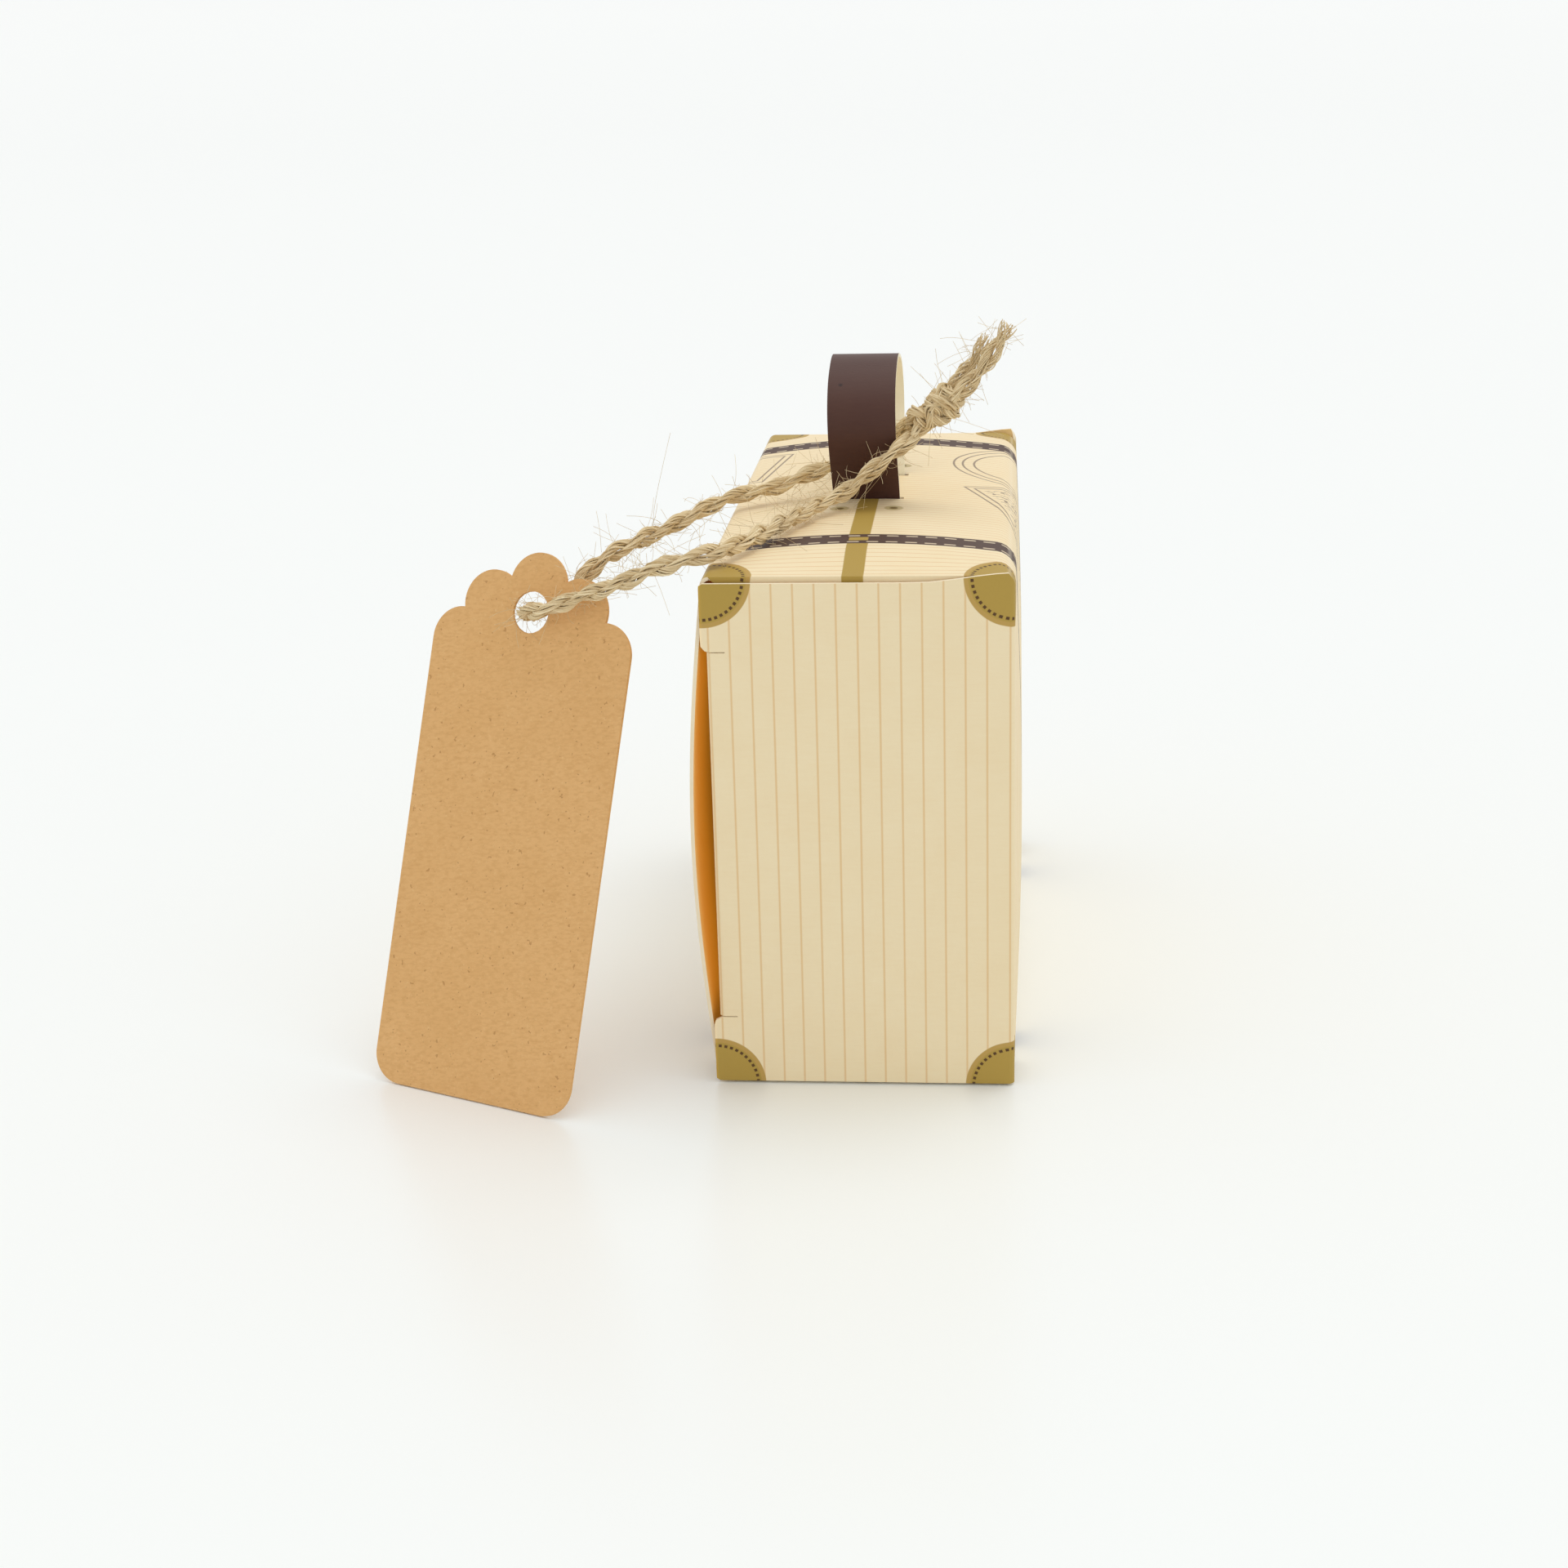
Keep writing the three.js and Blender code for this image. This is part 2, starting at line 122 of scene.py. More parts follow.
def card_sheet(name, grids):
    """One sheet of card from grids of (points, print places, kept faces), joined where they meet."""
    points = []
    places = []
    faces = []
    start = 0
    for grid, place, keep in grids:
        rows, columns = grid.shape[:2]
        quads = grid_faces(rows, columns)
        quads = quads.reshape(-1, 4) if keep is None else quads[keep]
        flat = grid.reshape(-1, 3)
        corner = flat[quads]
        normal = np.cross(corner[:, 2] - corner[:, 0], corner[:, 3] - corner[:, 1])
        outward = (normal * (corner.mean(axis=1) - INSIDE)).sum()
        quads = quads if outward > 0 else quads[:, ::-1]
        faces += (quads + start).tolist()
        points.append(flat)
        places.append(place.reshape(-1, 2))
        start += len(flat)
    piece = link_mesh(name, np.concatenate(points), faces, np.concatenate(places))
    shell = bmesh.new()
    shell.from_mesh(piece.data)
    bmesh.ops.remove_doubles(shell, verts=shell.verts, dist=2e-6)
    loose = [point for point in shell.verts if not point.link_faces]
    bmesh.ops.delete(shell, geom=loose, context="VERTS")
    shell.to_mesh(piece.data)
    shell.free()
    return piece


def thicken(piece, thickness, offset, materials, inner_shift, rim_shift, sharp=40):
    """Gives a sheet its thickness with Solidify, applies it and smooths all but sharp edges."""
    for material in materials:
        piece.data.materials.append(material)
    solid = piece.modifiers.new("thickness", "SOLIDIFY")
    solid.thickness = thickness * MM
    solid.offset = offset
    solid.material_offset = inner_shift
    solid.material_offset_rim = rim_shift
    graph = bpy.context.evaluated_depsgraph_get()
    finished = bpy.data.meshes.new_from_object(piece.evaluated_get(graph))
    piece.modifiers.clear()
    piece.data = finished
    finished.name = piece.name
    finished.shade_smooth()
    finished.set_sharp_from_angle(angle=math.radians(sharp))
    print(piece.name, len(finished.polygons), "faces")
    return piece


def smoothstep(value):
    """Zero below 0, one above 1, and an S-shaped rise between."""
    value = np.clip(value, 0.0, 1.0)
    return value * value * (3.0 - 2.0 * value)


# %% [markdown]
# ## The twine's path
# The loop leaves the knot in front of the handle, drapes over the near corner of the box,
# goes through the tag's hole and comes back behind the handle's leg. A curve through listed
# points follows it. The spacing of a Catmull-Rom curve's knots is the square root
# of each chord, so that it makes no loops where points lie close together.

# %% Twine path
CURVE_PIECES = 24
TWINE_ROUTE = [
    (5.0, -10.7, 67.3), (4.1, -11.4, 66.7), (2.7, -12.2, 65.7), (0.9, -12.6, 64.2),
    (-1.2, -12.8, 62.6), (-3.1, -13.6, 61.4), (-5.1, -15.6, 60.8), (-7.3, -19.8, 60.5),
    (-9.6, -25.4, 60.3), (-11.9, -30.3, 60.1), (-14.0, -33.6, 59.9), (-16.1, -35.5, 59.6),
    (-18.3, -36.0, 59.1), (-20.6, -35.7, 58.4), (-23.0, -34.9, 57.4), (-25.8, -33.9, 56.1),
    (-28.7, -32.9, 54.8), (-31.6, -31.9, 53.7), (-35.3, -30.9, 52.2), (-36.9, -29.6, 51.7),
    (-37.6, -27.8, 51.2), (-37.3, -25.8, 50.8), (-36.1, -24.2, 50.7), (-34.5, -22.4, 51.6),
    (-32.4, -21.1, 53.3), (-29.7, -19.2, 55.4), (-26.2, -15.9, 56.6), (-22.7, -12.6, 57.6),
    (-19.8, -10.2, 58.7), (-17.0, -8.3, 59.7), (-14.2, -7.1, 60.1), (-11.2, -6.4, 60.7),
    (-8.2, -6.0, 61.7), (-4.9, -5.9, 62.9), (-2.3, -6.2, 64.0), (0.6, -7.0, 65.4),
    (2.9, -8.0, 66.9), (4.4, -8.4, 68.3),
]


def root_chord(start, end):
    """The square root of the distance between two rows of points."""
    return np.sqrt(np.linalg.norm(end - start, axis=1))[:, None]


def smooth_path(points, step):
    """Cubic pieces with centripetal Catmull-Rom slopes, then points at even steps along them."""
    points = np.asarray(points, float)
    ends = np.vstack([2 * points[0] - points[1], points, 2 * points[-1] - points[-2]])
    before, first, second, after = ends[:-3], ends[1:-2], ends[2:-1], ends[3:]
    gap_before = root_chord(before, first)
    gap = root_chord(first, second)
    gap_after = root_chord(second, after)
    slope_in = ((first - before) / gap_before - (second - before) / (gap_before + gap)
                + (second - first) / gap) * gap
    slope_out = ((second - first) / gap - (after - first) / (gap + gap_after)
                 + (after - second) / gap_after) * gap
    share = np.linspace(0, 1, CURVE_PIECES, endpoint=False)[None, :, None]
    first, second = first[:, None], second[:, None]
    slope_in, slope_out = slope_in[:, None], slope_out[:, None]
    dense = (first * (2 * share**3 - 3 * share**2 + 1) + slope_in * (share**3 - 2 * share**2 + share)
             + second * (3 * share**2 - 2 * share**3) + slope_out * (share**3 - share**2))
    dense = np.vstack([dense.reshape(-1, 3), points[-1]])
    run = np.concatenate([[0], np.cumsum(np.linalg.norm(np.diff(dense, axis=0), axis=1))])
    places = np.linspace(0, run[-1], max(4, int(round(run[-1] / step)) + 1))
    return np.stack([np.interp(places, run, dense[:, axis]) for axis in range(3)], axis=1), run[-1]


loop_path, loop_length = smooth_path(TWINE_ROUTE, 0.4)
print("twine loop", round(loop_length, 1), "mm")

# %% [markdown]
# ## Jute twine
# Two plies are twisted round each other, and each ply is a bundle of coarse fibres with a
# twist of its own. A texture on one round tube would show a smooth outline, so every strand
# is a thin tube here: it circles its ply's middle while the ply circles the twine's middle.

# %% Strands and tubes
LAY = 8.8
PLY_LAY = 7.5
PLY_OFFSET = 0.5
STRANDS = 18
STRAND_REACH = 0.37
STRAND_SPREAD = 0.1
STRAND_WANDER = 0.45
STRAND_RADIUS = 0.115
STRAND_SIDES = 5


def unit(vectors):
    """Vectors divided by their own lengths."""
    return vectors / np.maximum(np.linalg.norm(vectors, axis=-1, keepdims=True), 1e-9)


def frames(paths, reference):
    """Directions along and across paths: across is square to the tangent and a fixed direction."""
    along = unit(np.gradient(paths, axis=-2))
    across = unit(np.cross(along, reference))
    return along, across, np.cross(along, across)


def twine_strands(path, seed, splay=0.0, ragged=0.0, reference=(0.0, 0.0, 1.0)):
    """Strand middles: the ply turns once a lay round the path, and each strand turns in its ply.

    A place is the path, plus the ply's offset times the cosine and sine of the ply's angle, plus
    the strand's reach times the cosine and sine of its own angle. Splay moves the strands apart
    with the square of the share of the path, and ragged shortens some of them.
    """
    chance = np.random.default_rng(seed)
    run = np.concatenate([[0], np.cumsum(np.linalg.norm(np.diff(path, axis=0), axis=1))])
    share = run / run[-1]
    _, across, up = frames(path, np.array(reference))
    ply = np.arange(2).repeat(STRANDS)[:, None]
    strand = np.tile(np.arange(STRANDS), 2)[:, None]
    around = np.pi * ply - 2 * np.pi * run[None, :] / LAY
    wave = chance.normal(0, 1, (2 * STRANDS, 3))
    own = 2 * np.pi * (strand / STRANDS + run[None, :] / PLY_LAY) + STRAND_WANDER * np.sin(
        run[None, :] / (1.2 + 0.3 * wave[:, :1]**2) + 3 * wave[:, 1:2])
    reach = np.clip(STRAND_REACH + STRAND_SPREAD * wave[:, 2:], 0.1, 0.55)
    reach = reach * (1 + 0.12 * np.sin(run[None, :] * 0.9 + 5 * wave[:, 1:2]))
    open_out = 1 + splay * share[None, :]**2
    side = (PLY_OFFSET * np.cos(around) + reach * np.cos(own)) * open_out
    rise = (PLY_OFFSET * np.sin(around) + reach * np.sin(own)) * open_out
    strands = path[None] + side[..., None] * across[None] + rise[..., None] * up[None]
    if ragged:
        keep = 1 - ragged * chance.random(2 * STRANDS)
        places = share[None, :] * keep[:, None]
        low = np.clip((places * (len(path) - 1)).astype(int), 0, len(path) - 2)
        part = (places * (len(path) - 1) - low)[..., None]
        row = np.arange(2 * STRANDS)[:, None]
        strands = strands[row, low] * (1 - part) + strands[row, low + 1] * part
    return strands


TUBE_REFERENCE = (0.31, 0.17, 0.93)
TONE_STEP = 7.3


def tubes(name, paths, radius, sides, material):
    """Rings of points round each path, its radius times the cosine and sine, closed by end caps."""
    count, steps = paths.shape[:2]
    _, across, up = frames(paths, np.array(TUBE_REFERENCE))
    angle = np.linspace(0, 2 * np.pi, sides, endpoint=False)
    wide = np.broadcast_to(radius, (count, steps))[..., None, None]
    ring = across[:, :, None] * np.cos(angle)[:, None] + up[:, :, None] * np.sin(angle)[:, None]
    points = paths[:, :, None] + wide * ring
    index = np.arange(count * steps * sides).reshape(count, steps, sides)
    turned = np.roll(index, -1, axis=2)
    walls = np.stack([index[:, :-1], index[:, 1:], turned[:, 1:], turned[:, :-1]], axis=-1)
    faces = walls.reshape(-1, 4).tolist()
    faces += index[:, 0].tolist() + index[:, -1, ::-1].tolist()
    strand_run = np.concatenate([np.zeros((count, 1)), np.cumsum(
        np.linalg.norm(np.diff(paths, axis=1), axis=2), axis=1)], axis=1)
    places = np.stack(np.broadcast_arrays(
        strand_run[:, :, None], (np.arange(count) * TONE_STEP)[:, None, None] + angle * 0.1), axis=-1)
    piece = link_mesh(name, points.reshape(-1, 3), faces, places.reshape(-1, 2))
    piece.data.materials.append(material)
    piece.data.shade_smooth()
    print(name, count, "tubes,", len(faces), "faces")
    return piece


# %% [markdown]
# ## Small tools for shaders
# A print is a rule from a place on the card to a colour. It could be an image, but a rule
# stays sharp at any distance. These helpers place the maths, ramp and mix nodes that such
# rules are made of, so that each pattern reads as a formula.

# %% Shader helpers
def wire(tree, socket, value):
    """Links a socket to another one, or sets it to a plain value."""
    if isinstance(value, bpy.types.NodeSocket):
        tree.links.new(value, socket)
    else:
        socket.default_value = value


def calc(tree, operation, *values):
    """One Math node."""
    node = tree.nodes.new("ShaderNodeMath")
    node.operation = operation
    for socket, value in zip(node.inputs, values):
        wire(tree, socket, value)
    return node.outputs[0]


def within(tree, distance, edge, soft=0.06):
    """One where the distance is under the edge, fading to zero over a soft width."""
    node = tree.nodes.new("ShaderNodeMapRange")
    node.interpolation_type = "SMOOTHSTEP"
    wire(tree, node.inputs["Value"], distance)
    node.inputs["From Min"].default_value = edge - soft
    node.inputs["From Max"].default_value = edge + soft
    node.inputs["To Min"].default_value = 1.0
    node.inputs["To Max"].default_value = 0.0
    return node.outputs["Result"]


def both(tree, *masks):
    """The product of masks."""
    result = masks[0]
    for mask in masks[1:]:
        result = calc(tree, "MULTIPLY", result, mask)
    return result


def away(tree, coordinate, place):
    """The distance from one place along a coordinate."""
    return calc(tree, "ABSOLUTE", calc(tree, "SUBTRACT", coordinate, place))


def linear(red, green, blue):
    """A screen colour, 0 to 255, as the linear colour that shaders use."""
    share = np.array([red, green, blue]) / 255
    value = np.where(share <= 0.04045, share / 12.92, ((share + 0.055) / 1.055)**2.4)
    return (*value.tolist(), 1.0)


def blend_colour(tree, mask, under, over):
    """The under colour, with the over colour where the mask is one."""
    node = tree.nodes.new("ShaderNodeMix")
    node.data_type = "RGBA"
    wire(tree, node.inputs[0], mask)
    wire(tree, node.inputs[6], under)
    wire(tree, node.inputs[7], over)
    return node.outputs[2]


def new_group(name, inputs, outputs):
    """A shader group with float or vector inputs and float outputs."""
    tree = bpy.data.node_groups.new(name, "ShaderNodeTree")
    for label, kind in inputs:
        tree.interface.new_socket(name=label, in_out="INPUT", socket_type=kind)
    for label in outputs:
        tree.interface.new_socket(name=label, in_out="OUTPUT", socket_type="NodeSocketFloat")
    return tree, tree.nodes.new("NodeGroupInput").outputs, tree.nodes.new("NodeGroupOutput").inputs


def use_group(tree, group, **values):
    """Places a group in a tree and sets or links its inputs by name."""
    node = tree.nodes.new("ShaderNodeGroup")
    node.node_tree = group
    for label, value in values.items():
        wire(tree, node.inputs[label], value)
    return node.outputs


def square_root_of_squares(tree, first, second):
    """The distance from two numbers: the root of the sum of their squares."""
    return calc(tree, "SQRT", calc(
        tree, "ADD", calc(tree, "POWER", first, 2.0), calc(tree, "POWER", second, 2.0)))


def noise(tree, vector, scale, detail=2.0, roughness=0.5):
    """A Noise Texture's value."""
    node = tree.nodes.new("ShaderNodeTexNoise")
    wire(tree, node.inputs["Vector"], vector)
    node.inputs["Scale"].default_value = scale
    node.inputs["Detail"].default_value = detail
    node.inputs["Roughness"].default_value = roughness
    return node.outputs["Fac"]


FLOAT = "NodeSocketFloat"
VECTOR = "NodeSocketVector"
print("shader helpers ready")

# %% [markdown]
# ## Card stock and print patterns
# All the card shares one surface: a soft cloudiness and a fine tooth from the pulp, and a
# few longer fibres. The printed effects that come back on more than one panel are groups
# too: leather-look corner patches with stitching, fine pinstripes and the strap bands.

# %% Card stock group
stock, put, give = new_group("card_stock", [("Place", VECTOR)], ["Cloud", "Tooth", "Fibre"])
wire(stock, give["Cloud"], noise(stock, put["Place"], 0.16, 3.0))
wire(stock, give["Tooth"], noise(stock, put["Place"], 3.2, 3.0, 0.6))
stretch = stock.nodes.new("ShaderNodeMapping")
stretch.inputs["Rotation"].default_value = (0.3, 0.5, 0.6)
stretch.inputs["Scale"].default_value = (0.5, 3.4, 3.4)
wire(stock, stretch.inputs["Vector"], put["Place"])
wire(stock, give["Fibre"], noise(stock, stretch.outputs[0], 0.9, 2.0, 0.6))
print("card stock group", len(stock.nodes), "nodes")

# %% [markdown]
# The corner patches look like leather sewn on: a quarter disc with a paler rim and a row of
# stitches. The distance from the corner gives the disc, the rim and the stitch line, and the
# angle round the corner, cut into equal steps, gives the stitches.

# %% Corner patch group
PATCH_RADIUS = 5.35
RIM_RADIUS = 5.15
STITCH_RADIUS = 4.5
STITCHES_A_TURN = 44.0
patch, put, give = new_group("corner_patch", [("Along", FLOAT), ("Up", FLOAT)], ["Patch", "Rim", "Stitch"])
span = square_root_of_squares(patch, put["Along"], put["Up"])
wire(patch, give["Patch"], within(patch, span, PATCH_RADIUS, 0.07))
wire(patch, give["Rim"], within(patch, away(patch, span, RIM_RADIUS), 0.28, 0.1))
beat = calc(patch, "MULTIPLY", calc(patch, "ARCTAN2", put["Up"], put["Along"]), STITCHES_A_TURN / math.tau)
stitch_mark = within(patch, away(patch, calc(patch, "FRACT", beat), 0.5), 0.27, 0.05)
stitch_line = within(patch, away(patch, span, STITCH_RADIUS), 0.17, 0.05)
wire(patch, give["Stitch"], both(patch, stitch_mark, stitch_line))
print("corner patch group", len(patch.nodes), "nodes")

# %% [markdown]
# Pinstripes repeat at an even pitch, so the fraction of the place over the pitch is near one
# half on each line. A strap is a band round the box, with a dashed line inside each edge: the
# dashes come from a fraction in the same way, but along the strap.

# %% Pinstripe and strap groups
STRIPE_PITCH = 2.26
STRIPE_HALF_SHARE = 0.046
stripe, put, give = new_group("pinstripe", [("Across", FLOAT)], ["Line"])
stripe_count = calc(stripe, "ADD", calc(stripe, "DIVIDE", put["Across"], STRIPE_PITCH), 100.5)
stripe_step = calc(stripe, "FRACT", stripe_count)
wire(stripe, give["Line"], within(stripe, away(stripe, stripe_step, 0.5), STRIPE_HALF_SHARE, 0.03))

STRAP_HALF = 2.15
DASH_PITCH = 2.1
DASH_LINE = 1.4
strap, put, give = new_group("strap_band", [("Across", FLOAT), ("Along", FLOAT)], ["Band", "Dash"])
wire(strap, give["Band"], within(strap, calc(strap, "ABSOLUTE", put["Across"]), STRAP_HALF, 0.07))
edge_line = within(strap, away(strap, calc(strap, "ABSOLUTE", put["Across"]), DASH_LINE), 0.2, 0.05)
dash_step = calc(strap, "FRACT", calc(strap, "ADD", calc(strap, "DIVIDE", put["Along"], DASH_PITCH), 100.0))
wire(strap, give["Dash"], both(strap, edge_line, within(strap, away(strap, dash_step, 0.5), 0.3, 0.04)))
print("shader groups", [group.name for group in bpy.data.node_groups])

# %% [markdown]
# ## The printed card
# Each panel's print is read from a map in millimetres that unrolls the sleeve round its
# middle: across runs from the middle of the top over the folds, and along is the length of
# the box. So a pattern bends over a fold as the ink does, and stays on a lid as it opens.
# Thin card lets a little warm light through. A material that really lets light through would
# need many more samples, so the inner faces that glow have a faint emission instead: a painted
# glow.

# %% Colours and the card's shared surface
CREAM = linear(248, 232, 195)
CREAM_DEEP = linear(243, 221, 178)
# The inside cream is warmer and deeper than the print's cream: painted warm light from bounces between
# inner faces.
CREAM_INSIDE_PAINTED_WARMTH = linear(246, 214, 152)
RAW_EDGE_AND_FOLD_HIGHLIGHT = linear(250, 238, 212)
# Pale cream of the raw cut edges, also used for the paler folds: rubbed print and a painted highlight.
OLIVE = linear(181, 151, 73)
OLIVE_RIM = linear(192, 157, 86)
STITCH_BROWN = linear(92, 66, 38)
STRAP_BROWN = linear(82, 60, 50)
DASH_PALE = linear(216, 198, 168)
STRIPE_INK = linear(226, 182, 120)
LINE_INK = linear(120, 100, 88)
RIVET_PALE = linear(205, 184, 132)
OLIVE_DARK = linear(128, 104, 54)
HANDLE_BROWN = linear(74, 46, 40)
# Colour and strength of the painted glow, an emission on inner card faces.
PAINTED_GLOW_COLOUR = linear(226, 160, 40)
PAINTED_GLOW_STRENGTH = 0.16
BLACK = (0.0, 0.0, 0.0, 1.0)
PAPER_GLOSS = 0.22
TOOTH_HEIGHT = 0.03


def new_material(name, roughness):
    """A material with one Principled BSDF, and its tree and shader."""
    material = bpy.data.materials.new(name)
    material.use_nodes = True
    shader = material.node_tree.nodes["Principled BSDF"]
    shader.inputs["Roughness"].default_value = roughness
    shader.inputs["Specular IOR Level"].default_value = PAPER_GLOSS
    return material, material.node_tree, shader


def print_place(tree):
    """The print map's place, as a vector and as its two numbers."""
    node = tree.nodes.new("ShaderNodeUVMap")
    node.uv_map = PRINT_MAP
    parts = tree.nodes.new("ShaderNodeSeparateXYZ")
    tree.links.new(node.outputs[0], parts.inputs[0])
    return node.outputs[0], parts.outputs[0], parts.outputs[1]


def raise_grain(tree, shader, height, distance):
    """A Bump node for the card's tooth, distance in mm."""
    node = tree.nodes.new("ShaderNodeBump")
    node.inputs["Strength"].default_value = 0.5
    node.inputs["Distance"].default_value = distance * MM
    wire(tree, node.inputs["Height"], height)
    tree.links.new(node.outputs[0], shader.inputs["Normal"])


def clouded(tree, vector, light, deep):
    """Card colour between two tones by the stock's cloudiness and fibres."""
    surface = use_group(tree, stock, Place=vector)
    mask = calc(tree, "ADD", calc(tree, "MULTIPLY", surface["Cloud"], 0.7),
                calc(tree, "MULTIPLY", surface["Fibre"], 0.45))
    return blend_colour(tree, calc(tree, "SUBTRACT", mask, 0.1), light, deep), surface


def add_patches(tree, colour, along, up):
    """Olive corner patches over a colour, with a paler rim and brown stitches."""
    marks = use_group(tree, patch, Along=along, Up=up)
    colour = blend_colour(tree, marks["Patch"], colour, OLIVE)
    colour = blend_colour(tree, both(tree, marks["Rim"], marks["Patch"]), colour, OLIVE_RIM)
    return blend_colour(tree, marks["Stitch"], colour, STITCH_BROWN)


print("card colours and helpers ready")

# %% [markdown]
# Each end of the box shows upright pinstripes and a patch in every corner. The map on the end
# flaps starts in the middle of the panel, so the distance from a side is half the width less
# the absolute value of the place across. The tuck flap, further to the left, has a faint painted glow.

# %% End flap print
HALF_WIDTH = 16.5
HALF_HEIGHT = 29.0
end_print, tree, shader = new_material("end_print", 0.55)
vector, across, up = print_place(tree)
colour, surface = clouded(tree, vector, CREAM, CREAM_DEEP)
line = use_group(tree, stripe, Across=across)["Line"]
colour = blend_colour(tree, both(tree, line, 0.6), colour, STRIPE_INK)
from_side = calc(tree, "SUBTRACT", HALF_WIDTH, calc(tree, "ABSOLUTE", across))
from_top = calc(tree, "SUBTRACT", HALF_HEIGHT, calc(tree, "ABSOLUTE", up))
colour = add_patches(tree, colour, from_side, from_top)
# The tuck flap gets a faint emission in the glow colour: a painted glow.
tuck_painted_glow = within(tree, calc(tree, "MULTIPLY", across, -1.0), HALF_WIDTH + 0.1, 0.3)
wire(tree, shader.inputs["Emission Color"], blend_colour(tree, tuck_painted_glow, PAINTED_GLOW_COLOUR, BLACK))
shader.inputs["Emission Strength"].default_value = PAINTED_GLOW_STRENGTH
wire(tree, shader.inputs["Base Color"], colour)
raise_grain(tree, shader, surface["Tooth"], TOOTH_HEIGHT)
print("end flap print", len(tree.nodes), "nodes")

# %% [markdown]
# The sleeve carries the rest of the suitcase: two dark straps with dashed edges that run
# round it, an olive strap along the top and the base, rivets beside the handle, and plain
# travel marks: rings, a pennant and a stamp frame, without any lettering.

# %% Sleeve print
SIDE_FOLD = HALF_WIDTH
BASE_FOLD = HALF_WIDTH + 2 * HALF_HEIGHT
STRAP_PLACE = 27.4
HALF_LENGTH = 40.0
sleeve_print, tree, shader = new_material("sleeve_print", 0.55)
vector, across, along = print_place(tree)
colour, surface = clouded(tree, vector, CREAM, CREAM_DEEP)
line = use_group(tree, stripe, Across=calc(tree, "MULTIPLY", along, 2.0))["Line"]
colour = blend_colour(tree, both(tree, line, 0.85), colour, STRIPE_INK)
span_along = calc(tree, "ABSOLUTE", along)
span_across = calc(tree, "ABSOLUTE", across)

# The travel marks are outlines: rings round a point, a triangle and a turned rectangle.
RING_CENTRE = (20.2, 15.3)
RING_RADII = (11.4, 10.3, 8.9)
LINE_HALF = 0.13
LINE_SOFT = 0.07
ring_across = calc(tree, "SUBTRACT", across, RING_CENTRE[0])
ring_along = calc(tree, "SUBTRACT", along, RING_CENTRE[1])
ring_span = square_root_of_squares(tree, ring_across, ring_along)
ink = 0.0
for radius in RING_RADII:
    ink = calc(tree, "MAXIMUM", ink, within(tree, away(tree, ring_span, radius), LINE_HALF, LINE_SOFT))


def half_plane(tree, first, second):
    """The signed distance to the line through two points, more than zero on its right."""
    east, north = second[0] - first[0], second[1] - first[1]
    size = math.hypot(east, north)
    shift = (first[1] * east - first[0] * north) / size
    return calc(tree, "ADD", calc(tree, "ADD", calc(tree, "MULTIPLY", across, north / size),
                                  calc(tree, "MULTIPLY", along, -east / size)), shift)


def outline(tree, corners, inset):
    """A line inset from the edges of a shape whose corners go round anticlockwise."""
    reach = None
    for first, second in zip(corners, corners[1:] + corners[:1]):
        edge = half_plane(tree, first, second)
        reach = edge if reach is None else calc(tree, "MAXIMUM", reach, edge)
    return within(tree, away(tree, reach, -inset), LINE_HALF, LINE_SOFT), reach


HATCH_INSET = 1.7
PENNANT = [(10.4, 1.5), (23.0, -28.5), (22.0, 5.6)]
STAMP = [(-32.0, 10.5), (-14.4, 7.4), (-11.9, 23.0), (-29.5, 26.1)]
for inset in (0.0, 0.9):
    for corners in (PENNANT, STAMP):
        mark, reach = outline(tree, corners, inset)
        ink = calc(tree, "MAXIMUM", ink, mark)
        if corners is PENNANT:
            inside_pennant = within(tree, reach, -HATCH_INSET, 0.1)
scribble = noise(tree, vector, 0.9, 1.0)
hatch = calc(tree, "FRACT", calc(tree, "ADD", calc(tree, "MULTIPLY", calc(
    tree, "ADD", along, calc(tree, "MULTIPLY", scribble, 3.0)), 0.8), 100.0))
hatching = both(tree, inside_pennant, within(tree, away(tree, hatch, 0.5), 0.1, 0.05))
ink = calc(tree, "MAXIMUM", ink, hatching)
colour = blend_colour(tree, both(tree, ink, 0.8), colour, LINE_INK)

# Straps, keepers, buckles and rivets.
OLIVE_STRAP_HALF = 1.15
OLIVE_STRAP_MIDDLE = -0.5
BUCKLE_PLACE = 40.0
RIVET_PLACE = (3.1, 12.0)
RIVET_RADIUS = 1.15
from_strap = away(tree, span_along, STRAP_PLACE)
base_middle = away(tree, across, -BASE_FOLD - HALF_WIDTH)
middle = calc(tree, "MINIMUM", away(tree, across, OLIVE_STRAP_MIDDLE), base_middle)
colour = blend_colour(tree, within(tree, middle, OLIVE_STRAP_HALF), colour, OLIVE)
bands = use_group(tree, strap, Across=calc(tree, "SUBTRACT", span_along, STRAP_PLACE), Along=across)
colour = blend_colour(tree, bands["Band"], colour, STRAP_BROWN)
colour = blend_colour(tree, bands["Dash"], colour, DASH_PALE)
keeper = both(tree, within(tree, middle, 1.05), within(tree, from_strap, 0.75))
colour = blend_colour(tree, keeper, colour, OLIVE)
buckle = calc(tree, "MAXIMUM", calc(tree, "SUBTRACT", away(tree, span_across, BUCKLE_PLACE), 3.4),
              calc(tree, "SUBTRACT", from_strap, 3.2))
colour = blend_colour(tree, within(tree, away(tree, buckle, -0.5), 0.5), colour, OLIVE)
rivet_across = calc(tree, "SUBTRACT", away(tree, across, OLIVE_STRAP_MIDDLE), RIVET_PLACE[0])
rivet_along = calc(tree, "SUBTRACT", span_along, RIVET_PLACE[1])
rivet = square_root_of_squares(tree, calc(tree, "DIVIDE", rivet_across, 0.95), rivet_along)
colour = blend_colour(tree, within(tree, rivet, RIVET_RADIUS, 0.15), colour, RIVET_PALE)
colour = blend_colour(tree, within(tree, rivet, 0.5, 0.15), colour, OLIVE_DARK)
